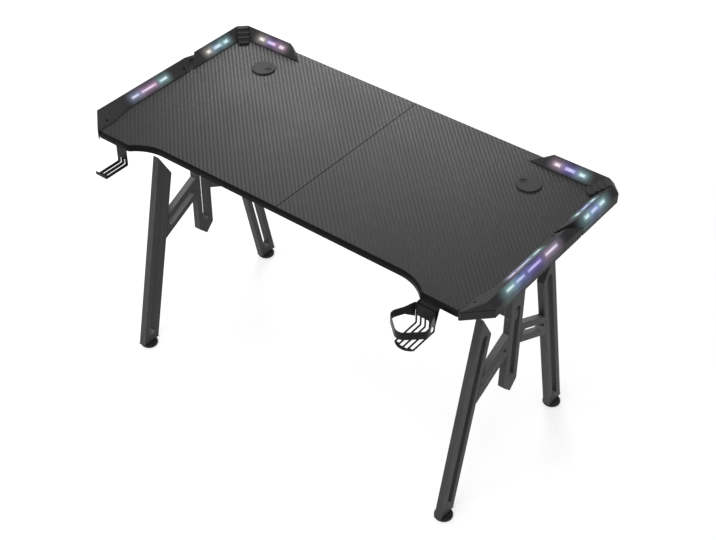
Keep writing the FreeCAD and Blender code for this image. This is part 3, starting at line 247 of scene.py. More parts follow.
class Finish(Sheet):
    """Material with one main shader, and the sums that its patterns need."""

    def __init__(self, name, colour, roughness, metallic=0.0, specular=0.5):
        self.material = bpy.data.materials.new(name)
        self.material.use_nodes = True
        super().__init__(self.material.node_tree)
        self.shader = self.add("ShaderNodeBsdfPrincipled")
        self.set("Base Color", (*colour, 1.0))
        self.set("Roughness", roughness)
        self.set("Metallic", metallic)
        self.set("Specular IOR Level", specular)
        self.add("ShaderNodeOutputMaterial", {"Surface": self.shader.outputs[0]})
        self.place = self.add("ShaderNodeTexCoord").outputs["Object"]

    def set(self, socket, value):
        """Feed a socket of the main shader."""
        self.feed(self.shader.inputs[socket], value)

    def arrow(self, operation, a, b=(0.0, 0.0, 0.0)):
        """Result of a sum on vectors."""
        node = self.add("ShaderNodeVectorMath", {0: a, 1: b}, operation=operation)
        return node.outputs["Value" if operation == "LENGTH" else "Vector"]

    def times(self, vector, factor):
        """Vector made longer by a factor."""
        node = self.add("ShaderNodeVectorMath", {0: vector, "Scale": factor}, operation="SCALE")
        return node.outputs["Vector"]

    def parts(self, vector):
        """The three numbers of a vector."""
        return self.add("ShaderNodeSeparateXYZ", {0: vector}).outputs

    def noise(self, vector, scale, detail=2.0, share=0.5):
        """Even noise about one half."""
        feeds = {"Vector": vector, "Scale": scale, "Detail": detail, "Roughness": share}
        return self.add("ShaderNodeTexNoise", feeds).outputs[0]

    def grains(self, vector, scale):
        """Distance to the nearest of many scattered points."""
        return self.add("ShaderNodeTexVoronoi", {"Vector": vector, "Scale": scale}).outputs["Distance"]

    def span(self, value, low, high, to_low, to_high, kind="LINEAR"):
        """Number moved from one span to another."""
        feeds = {0: value, 1: low, 2: high, 3: to_low, 4: to_high}
        return self.add("ShaderNodeMapRange", feeds, interpolation_type=kind).outputs[0]

    def waver(self, noise, low, high):
        """Number that a noise moves between two levels."""
        return self.span(noise, NOISE_LOW, NOISE_HIGH, low, high)

    def blend(self, factor, first, second):
        """Colour between two colours."""
        node = self.add("ShaderNodeMix", {0: factor}, data_type="RGBA")
        self.feed(node.inputs[6], first)
        self.feed(node.inputs[7], second)
        return node.outputs[2]

    def bump(self, height, depth):
        """Normal of a relief whose full height is a depth in metres."""
        feeds = {"Height": height, "Distance": depth, "Strength": 1.0}
        return self.add("ShaderNodeBump", feeds).outputs[0]


def lighter(colour, factor):
    """Colour with all its parts times a factor."""
    return (colour[0] * factor, colour[1] * factor, colour[2] * factor, 1.0)


# Finishes

def woven_film():
    """Laminate with a pressed two by two twill, and a plain dark backing."""
    sizes = chosen("finish")
    film = Finish("woven_film", sizes.weave_dark, roughness=0.45, specular=0.18)
    repeat = 4.0
    last_over = 1.5
    rough_tow = 0.42
    smooth_tow = 0.27
    rough_backing = 0.7
    x, y = film.parts(film.times(film.place, 1.0 / sizes.weave_cell))[:2]
    step = film.sum("ADD", film.sum("FLOOR", x), film.sum("FLOOR", y))
    across = film.sum("LESS_THAN", film.sum("FLOORED_MODULO", step, repeat), last_over)
    crowns = []
    strands = []
    for axis, x_stretch, y_stretch in ((x, 9.0, 0.7), (y, 0.7, 9.0)):
        off = film.sum("SUBTRACT", film.sum("FRACT", axis), 0.5)
        fall = film.product(film.product(off, off), 4.0)
        crowns.append(film.sum("SUBTRACT", 1.0, fall))
        lines = film.joined(film.product(x, x_stretch), film.product(y, y_stretch))
        strands.append(film.noise(lines, scale=1.0, detail=1.0))
    crown = film.between(across, crowns[0], crowns[1])
    strand = film.between(across, strands[0], strands[1])
    cloud = film.noise(film.place, scale=5.0, detail=3.0)
    facing = film.parts(film.add("ShaderNodeNewGeometry").outputs["True Normal"])[2]
    under = film.sum("LESS_THAN", facing, 0.0)

    tone = film.blend(across, (*sizes.weave_dark, 1.0), (*sizes.weave_bright, 1.0))
    faded = film.blend(film.waver(strand, 0.0, 0.35), tone, lighter(sizes.weave_dark, 0.55))
    haze = film.span(cloud, 0.35, 0.65, 0.0, 0.15)
    clouded = film.blend(haze, faded, lighter(sizes.weave_bright, 1.2))
    film.set("Base Color", film.blend(under, clouded, (*sizes.backing, 1.0)))
    gloss = film.between(across, rough_tow, smooth_tow)
    gloss = film.sum("ADD", gloss, film.waver(cloud, -0.04, 0.05))
    film.set("Roughness", film.between(under, gloss, rough_backing))
    relief = film.sum("ADD", film.product(crown, 0.8), film.product(strand, 0.2))
    pressed = film.product(relief, film.sum("SUBTRACT", 1.0, under))
    film.set("Normal", film.bump(pressed, depth=0.00007))
    return film.material


def coated(name, colour, roughness, grain=0.0007, depth=0.00005, specular=0.11):
    """Powder coat or moulded skin: fine peel, faint clouds, a little dust and worn edges."""
    coat = Finish(name, colour, roughness, specular=specular)
    cloud = coat.noise(coat.place, scale=9.0, detail=4.0, share=0.6)
    peel = coat.noise(coat.place, scale=1.0 / grain)
    pits = coat.grains(coat.place, scale=0.55 / grain)
    rub = coat.noise(coat.place, scale=55.0, detail=3.0)
    edge = coat.add("ShaderNodeAttribute", attribute_name="edge").outputs["Fac"]

    patches = coat.span(cloud, 0.35, 0.7, 0.0, 1.0)
    dust = coat.span(pits, 0.0, 0.16, 0.25, 0.0)
    worn = coat.product(edge, coat.span(rub, 0.40, 0.62, 0.15, 0.9))
    toned = coat.blend(patches, lighter(colour, 0.90), lighter(colour, 1.14))
    dusty = coat.blend(dust, toned, lighter(colour, 1.7))
    coat.tone = coat.blend(worn, dusty, lighter(colour, 2.4))
    coat.set("Base Color", coat.tone)
    sheen = coat.sum("ADD", roughness, coat.waver(cloud, -0.05, 0.06))
    sheen = coat.sum("SUBTRACT", sheen, coat.product(worn, 0.12))
    coat.set("Roughness", coat.sum("ADD", sheen, coat.waver(peel, -0.04, 0.04)))
    relief = coat.sum("ADD", peel, coat.product(pits, 0.3))
    coat.set("Normal", coat.bump(relief, depth))
    return coat


def tube_coat():
    """Powder coat of the tubes, lighter along their rounded long edges for wear and a painted highlight,
    with painted light on what faces up.
    """
    colour = chosen("finish").steel
    coat = coated("frame_coat", colour, roughness=0.46, grain=0.0010)
    normal = coat.parts(coat.add("ShaderNodeNewGeometry").outputs["Normal"])
    turn = coat.sum("ABSOLUTE", normal[0])
    # Partly painted highlight: the rounded long edges are lightened under a rubbed noise, for wear and
    # for the light that such edges catch.
    rim_start = coat.span(turn, 0.10, 0.35, 0.0, 1.0)
    rim_end = coat.span(turn, 0.75, 0.97, 1.0, 0.0)
    rub = coat.span(coat.noise(coat.place, scale=24.0, detail=4.0), 0.38, 0.62, 0.3, 1.0)
    worn = coat.product(coat.product(rim_start, rim_end), rub)
    worn_and_highlit_rims = coat.blend(worn, coat.tone, lighter(colour, 2.1))
    # Painted light: faces turned up are lightened a long way, standing in for light from above.
    painted_top_light = coat.span(normal[2], 0.55, 0.85, 0.0, 1.0)
    coat.set("Base Color", coat.blend(painted_top_light, worn_and_highlit_rims, lighter(colour, 4.2)))
    return coat.material


def glowing_plastic(side, end, lights):
    """Moulded skin of one guard, with painted shade along its foot by the worktop and a painted glow
    round its windows.
    """
    sizes = chosen("finish")
    lamps = chosen("light")
    skin = coated(side + "_" + end + "_guard_skin", sizes.guard, roughness=0.52)
    place = skin.parts(skin.place)
    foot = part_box("tabletop_left")[1].z
    painted_shade_start = foot - 0.0005
    painted_shade_full = foot + 0.0006
    painted_shade_end = foot + 0.0030
    # Painted shade: the skin turns almost black in a thin band just above the worktop, standing in for
    # the contact shadow where the guard meets it; the glow is kept out of that band too.
    above_painted_shade = skin.span(place[2], painted_shade_full, painted_shade_end, 0.0, 1.0)
    clear = skin.sum("MAXIMUM", above_painted_shade, skin.sum("LESS_THAN", place[2], painted_shade_start))
    skin.set("Base Color", skin.blend(clear, lighter(sizes.guard, 0.12), skin.tone))
    # Painted light: the plastic round each window gets an emission that stands in for the windows' light
    # spreading over it.
    outside = skin.sum("GREATER_THAN", skin.sum("ABSOLUTE", place[0]), ridge_line())
    inside = skin.sum("SUBTRACT", 1.0, outside)
    total = (0.0, 0.0, 0.0)
    for light in lights:
        spread = skin.product(light_spread(skin, light), outside if light.outer else inside)
        total = skin.arrow("ADD", skin.times(light.tint, spread), total)
    skin.set("Emission Color", skin.times(total, clear))
    skin.set("Emission Strength", lamps.glow)
    return skin.material


def light_spread(skin, light):
    """Level of one window's painted glow on the plastic: a bright rim, and a wide soft fall beyond."""
    lamps = chosen("light")
    steepness = 1.5
    off = skin.arrow("ABSOLUTE", skin.arrow("SUBTRACT", skin.place, light.middle))
    far = skin.arrow("LENGTH", skin.arrow("MAXIMUM", skin.arrow("SUBTRACT", off, light.half)))
    near = skin.span(far, 0.0, lamps.glow_reach * light.spread, 1.0, 0.0, "SMOOTHERSTEP")
    rim = skin.span(far, 0.0, lamps.halo_reach, lamps.halo, 0.0, "SMOOTHSTEP")
    return skin.sum("ADD", skin.sum("POWER", near, steepness), rim)


def window_lens():
    """Milky lens that glows in the colour painted on each window, brightest at its middle."""
    milky = (0.20, 0.205, 0.215)
    most_white = 0.33
    lens = Finish("window_lens", milky, roughness=0.32, specular=0.2)
    paint = lens.add("ShaderNodeAttribute", attribute_name="light").outputs["Color"]
    spot = lens.parts(lens.add("ShaderNodeUVMap", uv_map="window").outputs[0])
    along = lens.product(spot[0], spot[0])
    across = lens.product(spot[1], spot[1])
    fall = lens.sum("ADD", lens.product(along, 0.26), lens.product(across, 0.28))
    core = lens.span(fall, 0.0, 1.0, 1.0, 0.0)
    haze = lens.noise(lens.place, scale=260.0, detail=3.0)
    core = lens.product(core, lens.waver(haze, 0.88, 1.08))
    white = lens.span(core, 0.55, 1.05, 0.0, most_white)
    lens.set("Emission Color", lens.blend(white, paint, WHITE))
    lens.set("Emission Strength", lens.product(core, chosen("light").strength))
    lens.set("Roughness", lens.waver(haze, 0.26, 0.40))
    lens.set("Normal", lens.bump(haze, depth=0.00004))
    return lens.material


def strip_board():
    """Pale flexible board with copper pads in a row."""
    pale = (0.62, 0.62, 0.58)
    copper = (0.55, 0.30, 0.14)
    board = Finish("strip_board", pale, roughness=0.45)
    pads_per_metre = 60.0
    pad_half = 0.08
    x, y = board.parts(board.place)[:2]
    row = board.sum("FRACT", board.product(board.sum("ADD", x, y), pads_per_metre))
    pad = board.sum("LESS_THAN", board.sum("ABSOLUTE", board.sum("SUBTRACT", row, 0.5)), pad_half)
    grain = board.noise(board.place, scale=900.0)
    board.set("Base Color", board.blend(pad, (*pale, 1.0), (*copper, 1.0)))
    board.set("Roughness", board.waver(grain, 0.36, 0.55))
    board.set("Normal", board.bump(grain, depth=0.00003))
    return board.material


def dark_metal(name, colour, roughness):
    """Blackened steel with fine turning lines."""
    metal = Finish(name, colour, roughness, metallic=0.85)
    cloud = metal.noise(metal.place, scale=130.0, detail=3.0)
    lines = metal.noise(metal.arrow("MULTIPLY", metal.place, (1.0, 1.0, 14.0)), scale=420.0)
    metal.set("Base Color", metal.blend(cloud, lighter(colour, 0.75), lighter(colour, 1.35)))
    metal.set("Roughness", metal.waver(lines, roughness - 0.08, roughness + 0.1))
    metal.set("Normal", metal.bump(lines, depth=0.00003))
    return metal.material


# Meshes

def merged_mesh(source):
    """Copy of a frame node's mesh with its corners joined and its flat faces whole."""
    mesh = bpy.data.meshes.new(source + "_merged")
    work = bmesh.new()
    work.from_mesh(nodes[source].data)
    bmesh.ops.remove_doubles(work, verts=work.verts, dist=JOIN_DISTANCE)
    bmesh.ops.dissolve_degenerate(work, edges=work.edges, dist=JOIN_DISTANCE)
    bmesh.ops.dissolve_limit(
        work, angle_limit=math.radians(FLAT_TURN), verts=work.verts, edges=work.edges,
        use_dissolve_boundaries=False,
    )
    work.to_mesh(mesh)
    work.free()
    normals = mesh.attributes.get("custom_normal")
    if normals is not None:
        mesh.attributes.remove(normals)
    return mesh


def new_object(name, mesh):
    """Object at the origin for a mesh."""
    made = bpy.data.objects.new(name, mesh)
    bpy.context.scene.collection.objects.link(made)
    return made


def smooth(mesh, angle):
    """Shade a mesh smoothly, but sharp over an angle in degrees."""
    mesh.shade_smooth()
    mesh.set_sharp_from_angle(angle=math.radians(angle))


def settled_mesh(made):
    """Plain mesh of an object with its modifiers worked in."""
    graph = bpy.context.evaluated_depsgraph_get()
    mesh = bpy.data.meshes.new_from_object(made.evaluated_get(graph), depsgraph=graph)
    made.modifiers.clear()
    made.data = mesh
    return mesh


def rounded_copy(source, width, segments=2, angle=33.0):
    """Copy of a frame node with its sharp edges rounded and marked for wear."""
    made = new_object(source + "_shape", merged_mesh(source))
    made.data.shade_smooth()
    plain = 0
    rounding = 1
    for empty in (None, None):
        made.data.materials.append(empty)
    bevel = made.modifiers.new("Edges", "BEVEL")
    bevel.width = width
    bevel.segments = segments
    bevel.limit_method = "ANGLE"
    bevel.angle_limit = math.radians(angle)
    bevel.miter_outer = "MITER_ARC"
    bevel.harden_normals = True
    bevel.material = rounding
    mesh = settled_mesh(made)
    edge = mesh.attributes.new("edge", "FLOAT", "FACE")
    for face in mesh.polygons:
        edge.data[face.index].value = float(face.material_index == rounding)
        face.material_index = plain
    return made


def carried(made, material, body, source):
    """Give a piece its finish and its body, and hide the frame node that it stands for."""
    if material is not None:
        made.data.materials.clear()
        made.data.materials.append(material)
    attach(made, body)
    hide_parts(source)


def rounded_piece(source, width, material, slot, body="desk", **bevel):
    """Rounded copy of a frame node with its finish and its body."""
    carried(rounded_copy(source, width, **bevel), material, body, source)


def coat_node(name, material):
    """Put a finish on a frame node that keeps its shape."""
    for place in nodes[name].material_slots:
        place.material = material


def islands(source):
    """Corner points of each separate solid in a frame node."""
    work = bmesh.new()
    work.from_mesh(nodes[source].data)
    bmesh.ops.remove_doubles(work, verts=work.verts, dist=JOIN_DISTANCE)
    left = dict.fromkeys(work.verts)
    found = []
    while left:
        front = [left.popitem()[0]]
        group = list(front)
        while front:
            corner = front.pop()
            for edge in corner.link_edges:
                other = edge.other_vert(corner)
                if other in left:
                    del left[other]
                    front.append(other)
                    group.append(other)
        found.append([corner.co.copy() for corner in group])
    work.free()
    return found


def corners_of(points):
    """Lowest and highest corner of some points."""
    low = Vector([min(p[axis] for p in points) for axis in range(3)])
    high = Vector([max(p[axis] for p in points) for axis in range(3)])
    return low, high


def arc(middle, radius, start, end, steps):
    """Points on a round corner of a profile, as radius and height."""
    found = []
    for step in range(steps + 1):
        angle = math.radians(start + (end - start) * step / steps)
        found.append((middle[0] + radius * math.cos(angle), middle[1] + radius * math.sin(angle)))
    return found


def turned(name, x, y, profile, steps=48):
    """Closed turned piece about an upright axis, from a profile of radius and height."""
    work = bmesh.new()
    rings = []
    for radius, height in profile:
        if radius == 0:
            rings.append([work.verts.new((x, y, height))])
            continue
        ring = []
        for step in range(steps):
            angle = 2 * math.pi * step / steps
            place = (x + radius * math.cos(angle), y + radius * math.sin(angle), height)
            ring.append(work.verts.new(place))
        rings.append(ring)
    for low, high in zip(rings, rings[1:]):
        for step in range(steps):
            after = (step + 1) % steps
            corners = [low[at % len(low)] for at in (step, after)]
            corners += [high[at % len(high)] for at in (after, step)]
            work.faces.new(list(dict.fromkeys(corners)))
    bmesh.ops.recalc_face_normals(work, faces=work.faces)
    mesh = bpy.data.meshes.new(name)
    work.to_mesh(mesh)
    work.free()
    smooth(mesh, angle=40.0)
    return new_object(name, mesh)


# Light windows

class Light:
    """One window: its middle, the way it runs, its sizes and its colours."""

    core_share = 0.8
    dull_share = 0.15
    outer_spread = 1.15
    inner_spread = 0.80

    def __init__(self, points):
        low, high = corners_of(points)
        self.middle = (low + high) / 2
        size = high - low
        self.along = 1 if size.y > size.x else 0
        self.reach = size[self.along] / 2
        self.rise = size.z / 2
        self.half = Vector((0.0, 0.0, 0.0))
        self.half[self.along] = self.reach * self.core_share
        self.outer = self.along == 1 and abs(self.middle.x) > ridge_line()
        self.spread = self.outer_spread if self.outer else self.inner_spread

    def paint(self, first, last):
        """Take the colours of the two ends."""
        lamps = chosen("light")
        self.tints = (Vector(getattr(lamps, first)), Vector(getattr(lamps, last)))
        whole = self.tints[0] + self.tints[1]
        dull = min(whole) * self.dull_share
        self.tint = tuple((part - dull) / 2 for part in whole)


def ridge_line():
    """Distance of the guards' ridge from the desk's middle."""
    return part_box("front_right_guard")[1].x - RIDGE_INSET


# Colours of each row's windows, from the front or from the corner, with a word for each end
WINDOW_COLOURS = {
    "front_left_inner": ("lilac sky", "lilac pink", "cyan"),
    "front_left_outer": ("cyan", "sky blue", "blue violet", "rose"),
    "front_right_inner": ("lilac", "lilac sky", "cyan"),
    "front_right_outer": ("cyan", "sky blue", "blue violet", "rose lilac"),
    "rear_left_inner": ("white", "sky cyan", "cyan"),
    "rear_left_outer": ("cyan", "sky blue", "cyan"),
    "rear_left_back": ("white", "blue pink", "rose"),
    "rear_right_inner": ("cyan", "sky blue", "cyan"),
    "rear_right_outer": ("cyan", "sky blue", "cyan"),
    "rear_right_back": ("cyan", "blue violet", "rose"),
}


def guard_lights(corner):
    """Windows of the guard on one corner, with their colours."""
    lights = [Light(points) for points in islands(corner + "_light_windows")]
    lights.sort(key=lambda light: light.middle.y if light.along else -abs(light.middle.x))
    rows = {}
    for light in lights:
        row = corner + ("_back" if light.along == 0 else "_outer" if light.outer else "_inner")
        colours = rows.setdefault(row, list(WINDOW_COLOURS[row]))
        words = colours.pop(0).split()
        light.paint(words[0], words[-1])
    return lights


def light_at(lights, point):
    """The window that a point belongs to."""
    return min(lights, key=lambda light: (light.middle - point).length - light.reach)


def window_piece(source, lights):
    """Windows of one guard with rounded corners, painted with their light."""
    made = rounded_copy(source, WINDOW_ROUND, angle=50.0)
    mesh = made.data
    smooth(mesh, angle=45.0)
    paint = mesh.color_attributes.new("light", "FLOAT_COLOR", "POINT")
    spots = mesh.uv_layers.new(name="window")
    owners = []
    for vertex in mesh.vertices:
        light = light_at(lights, vertex.co)
        owners.append(light)
        share = (vertex.co[light.along] - light.middle[light.along]) / (2 * light.reach) + 0.5
        if light.along == 0 and light.middle.x > 0:
            share = 1 - share
        first, last = light.tints
        paint.data[vertex.index].color = (*first.lerp(last, min(max(share, 0), 1)), 1.0)
    for loop in mesh.loops:
        light = owners[loop.vertex_index]
        off = mesh.vertices[loop.vertex_index].co - light.middle
        spots.data[loop.index].uv = (off[light.along] / light.reach, off.z / light.rise)
    return made


# Fasteners

class Fastener:
    """Place, way and sizes of one screw or bolt, read from its solid."""

    def __init__(self, points):
        low, high = corners_of(points)
        size = high - low
        self.axis = max(range(3), key=lambda axis: size[axis])
        middle = (low + high) / 2
        ends = []
        for end in (low[self.axis], high[self.axis]):
            ring = [p for p in points if abs(p[self.axis] - end) < LEVEL_TOLERANCE]
            ends.append(max(self.off(p, middle) for p in ring))
        upward = ends[1] > ends[0]
        tip = high[self.axis] if upward else low[self.axis]
        steps = sorted({round(p[self.axis], 5) for p in points}, key=lambda step: abs(step - tip))
        head = abs(steps[1] - tip)
        self.sizes = {
            "Head Radius": max(ends),
            "Head Height": head,
            "Shank Radius": min(ends),
            "Length": size[self.axis] - head,
        }
        self.way = Vector((0.0, 0.0, 0.0))
        self.way[self.axis] = 1.0 if upward else -1.0
        self.seat = middle.copy()
        self.seat[self.axis] = tip - self.way[self.axis] * head

    def off(self, point, middle):
        """Distance of a point from the axis."""
        gap = point - middle
        gap[self.axis] = 0.0
        return gap.length


class FastenerTree(Sheet):
    """Tree that puts one screw or bolt on every point, turned to the point's way."""

    kinds = {"Points": "Geometry", "Material": "Material", "Sides": "Int"}
    numbers = (
        "Head Radius", "Head Height", "Crown", "Shank Radius", "Length", "Recess Width", "Recess Depth",
    )
    rim_share = 0.55
    crown_steps = ((0.55, 0.90), (0.45, 0.80))
    recess_reach = 1.15
    shank_sides = 12

    def __init__(self, name, crossed):
        super().__init__(bpy.data.node_groups.new(name, "GeometryNodeTree"))
        sockets = self.tree.interface
        for label in (*self.kinds, *self.numbers):
            kind = "NodeSocket" + self.kinds.get(label, "Float")
            sockets.new_socket(name=label, in_out="INPUT", socket_type=kind)
        sockets.new_socket(name="Fasteners", in_out="OUTPUT", socket_type="NodeSocketGeometry")
        self.given = self.add("NodeGroupInput").outputs
        head = self.head()
        if crossed:
            head = self.recessed(head)
        whole = self.add("GeometryNodeJoinGeometry", {0: [self.stem(), head]})
        self.spread(whole.outputs[0])

    def raised(self, geometry, height):
        """Shape moved up by a height."""
        feeds = {"Geometry": geometry, "Translation": self.joined(z=height)}
        return self.add("GeometryNodeTransform", feeds).outputs[0]

    def head(self):
        """Head with an upright rim and a crown that draws in."""
        given = self.given
        rim = self.product(given["Head Height"], self.rim_share)
        crown = self.sum("SUBTRACT", given["Head Height"], rim)
        flat = self.sum("SUBTRACT", 1.0, given["Crown"])
        feeds = {"Vertices": given["Sides"], "Radius": given["Head Radius"], "Depth": rim}
        barrel = self.add("GeometryNodeMeshCylinder", feeds)
        top = barrel.outputs["Top"]
        body = barrel.outputs["Mesh"]
        for share, taper in self.crown_steps:
            rise = self.product(crown, share)
            feeds = {"Mesh": body, "Selection": top, "Offset Scale": rise, "Individual": False}
            grown = self.add("GeometryNodeExtrudeMesh", feeds)
            top = grown.outputs["Top"]
            drawn = self.sum("ADD", self.product(given["Crown"], taper), flat)
            feeds = {"Geometry": grown.outputs["Mesh"], "Selection": top, "Scale": drawn}
            body = self.add("GeometryNodeScaleElements", feeds).outputs[0]
        return self.raised(body, self.sum("DIVIDE", rim, 2.0))

    def recessed(self, head):
        """Head with a cross cut into it by two blocks."""
        given = self.given
        reach = self.product(given["Head Radius"], self.recess_reach)
        narrow = given["Recess Width"]
        deep = self.product(given["Recess Depth"], 2.0)
        blocks = []
        for x, y in ((reach, narrow), (narrow, reach)):
            block = self.add("GeometryNodeMeshCube", {"Size": self.joined(x, y, deep)}).outputs[0]
            blocks.append(self.raised(block, given["Head Height"]))
        cross = self.add("GeometryNodeMeshBoolean", {"Mesh 2": blocks}, operation="UNION").outputs[0]
        feeds = {"Mesh 1": head, "Mesh 2": cross}
        return self.add("GeometryNodeMeshBoolean", feeds, operation="DIFFERENCE").outputs[0]

    def stem(self):
        """Plain shank below the head."""
        given = self.given
        feeds = {"Vertices": self.shank_sides, "Radius": given["Shank Radius"], "Depth": given["Length"]}
        shank = self.add("GeometryNodeMeshCylinder", feeds).outputs["Mesh"]
        return self.raised(shank, self.sum("DIVIDE", given["Length"], -2.0))

    def spread(self, shape):
        """Put the shape on every point as real geometry with its material."""
        given = self.given
        way = self.add("GeometryNodeInputNamedAttribute", {"Name": "way"}, data_type="FLOAT_VECTOR")
        feeds = {"Vector": way.outputs["Attribute"]}
        turn = self.add("FunctionNodeAlignRotationToVector", feeds, axis="Z").outputs[0]
        feeds = {"Points": given["Points"], "Instance": shape, "Rotation": turn}
        copies = self.add("GeometryNodeInstanceOnPoints", feeds).outputs[0]
        real = self.add("GeometryNodeRealizeInstances", {"Geometry": copies}).outputs[0]
        feeds = {"Geometry": real, "Material": given["Material"]}
        finished = self.add("GeometryNodeSetMaterial", feeds).outputs[0]
        self.add("NodeGroupOutput", {"Fasteners": finished})


def fastener_piece(source, tree, material, sides, crown):
    """All the fasteners of one frame node, made by a tree."""
    sizes = chosen("finish")
    fewest_faces = 10
    members = [Fastener(points) for points in islands(source)]
    mesh = bpy.data.meshes.new(source + "_shape")
    mesh.from_pydata([member.seat for member in members], [], [])
    ways = mesh.attributes.new("way", "FLOAT_VECTOR", "POINT")
    for index, member in enumerate(members):
        ways.data[index].vector = member.way
    made = new_object(source + "_shape", mesh)
    values = {
        **members[0].sizes,
        "Material": material,
        "Sides": sides,
        "Crown": crown,
        "Recess Width": sizes.recess_width,
        "Recess Depth": sizes.recess_depth,
    }
    modifier = made.modifiers.new("Fasteners", "NODES")
    modifier.node_group = tree
    for item in tree.interface.items_tree:
        if item.in_out == "INPUT" and item.name in values:
            modifier[item.identifier] = values[item.name]
    settled_mesh(made)
    if len(made.data.polygons) < fewest_faces * len(members):
        raise RuntimeError("the fasteners of " + source + " came out empty")
    smooth(made.data, angle=28.0)
    carried(made, None, "desk", source)


# Operators

class DESK_OT_worktop(bpy.types.Operator):
    """Finish the two worktop halves, their edge bands and the plates across the seam"""

    bl_idname = "desk.worktop"
    bl_label = "Worktop"

    def execute(self, context):
        sizes = chosen("finish")
        film = woven_film()
        band = coated("edge_band", sizes.edge_band, 0.32, 0.0012, depth=0.00003, specular=0.05).material
        plate = coated("seam_plate_coat", sizes.steel, 0.45, grain=0.0010, depth=0.00004).material
        for side in SIDES:
            half = "tabletop_" + side
            made = self.half(half)
            self.cover(made.data, film, band)
            carried(made, None, "desk", half)
            coat_node("edge_band_" + side, band)
        coat_node("seam_plates", plate)
        return {"FINISHED"}

    def half(self, source):
        """One half with the two edges of its rim's bevel rounded."""
        least_turn = 35.0
        most_turn = 55.0
        made = new_object(source + "_shape", merged_mesh(source))
        work = bmesh.new()
        work.from_mesh(made.data)
        weights = work.edges.layers.float.new("bevel_weight_edge")
        for edge in work.edges:
            turn = math.degrees(edge.calc_face_angle(0.0))
            if least_turn < turn < most_turn and edge.is_convex:
                edge[weights] = 1.0
        work.to_mesh(made.data)
        work.free()
        smooth(made.data, angle=60.0)
        bevel = made.modifiers.new("Rim", "BEVEL")
        bevel.width = chosen("finish").rim_round
        bevel.segments = 3
        bevel.limit_method = "WEIGHT"
        bevel.harden_normals = True
        settled_mesh(made)
        return made

    def cover(self, mesh, film, band):
        """Film on the top and the underside, and the band's finish on the rim."""
        rim_low = -0.5
        rim_high = 0.9
        mesh.materials.clear()
        for finish in (film, band):
            mesh.materials.append(finish)
        for face in mesh.polygons:
            face.material_index = int(rim_low < face.normal.z < rim_high)


class DESK_OT_guards(bpy.types.Operator):
    """Make the four guards, their glowing windows and their light strips"""

    bl_idname = "desk.guards"
    bl_label = "Guards and lights"

    def execute(self, context):
        sizes = chosen("finish")
        lens = window_lens()
        board = strip_board()
        for side in SIDES:
            for end in ENDS:
                corner = end + "_" + side
                name = corner + "_guard"
                windows = corner + "_light_windows"
                lights = guard_lights(corner)
                skin = glowing_plastic(side, end, lights)
                rounded_piece(name, sizes.moulded_round, skin, "guard_plastic", angle=25.0)
                carried(window_piece(windows, lights), lens, "desk", windows)
            coat_node("front_" + side + "_light_strip", board)
            coat_node("rear_" + side + "_light_strips", board)
        return {"FINISHED"}


class DESK_OT_corner_caps(bpy.types.Operator):
    """Make the ribbed caps in the rear corners"""

    bl_idname = "desk.corner_caps"
    bl_label = "Corner caps"

    def execute(self, context):
        sizes = chosen("finish")
        skin = coated("corner_cap_skin", sizes.guard, roughness=0.55).material
        for side in SIDES:
            name = "rear_" + side + "_corner_cap"
            rounded_piece(name, sizes.moulded_round, skin, "guard_plastic", angle=25.0)
        return {"FINISHED"}


class DESK_OT_grommets(bpy.types.Operator):
    """Make the cable grommets: liners, turning caps and plugs"""

    bl_idname = "desk.grommets"
    bl_label = "Cable grommets"

    def execute(self, context):
        sizes = chosen("finish")
        # Painted shade: the liners and plugs get half the grommet colour, so the hole and the plug's
        # recess read darker.
        deep = lighter(sizes.grommet, 0.5)[:3]
        skin = coated("grommet_skin", sizes.grommet, 0.48, grain=0.0006, depth=0.00004).material
        dark = coated("grommet_liner_skin", deep, 0.5, grain=0.0006, depth=0.00004).material
        for side in SIDES:
            cap = "grommet_cap_" + side
            plug = "cable_plug_" + side
            rounded_piece("grommet_liner_" + side, LINER_ROUND, dark, "grommet_plastic")
            rounded_piece(cap, CAP_ROUND, skin, "grommet_plastic", cap, segments=3)
            rounded_piece(plug, PLUG_ROUND, dark, "grommet_plastic", plug, segments=3)
        return {"FINISHED"}


class DESK_OT_frames(bpy.types.Operator):
    """Coat the end frames, the bars and the rails"""

    bl_idname = "desk.frames"
    bl_label = "End frames"

    def execute(self, context):
        sizes = chosen("finish")
        coat = tube_coat()
        plug = coated("leg_plug_skin", sizes.foot, roughness=0.5, depth=0.00004).material
        tubes = ("front_leg_", "rear_leg_", "upright_", "front_brace_", "rear_brace_", "top_bar_")
        for side in SIDES:
            for name in tubes:
                coat_node(name + side, coat)
        for name in ("front_rail", "rear_rail", "cross_bar"):
            coat_node(name, coat)
        coat_node("leg_plugs", plug)
        return {"FINISHED"}


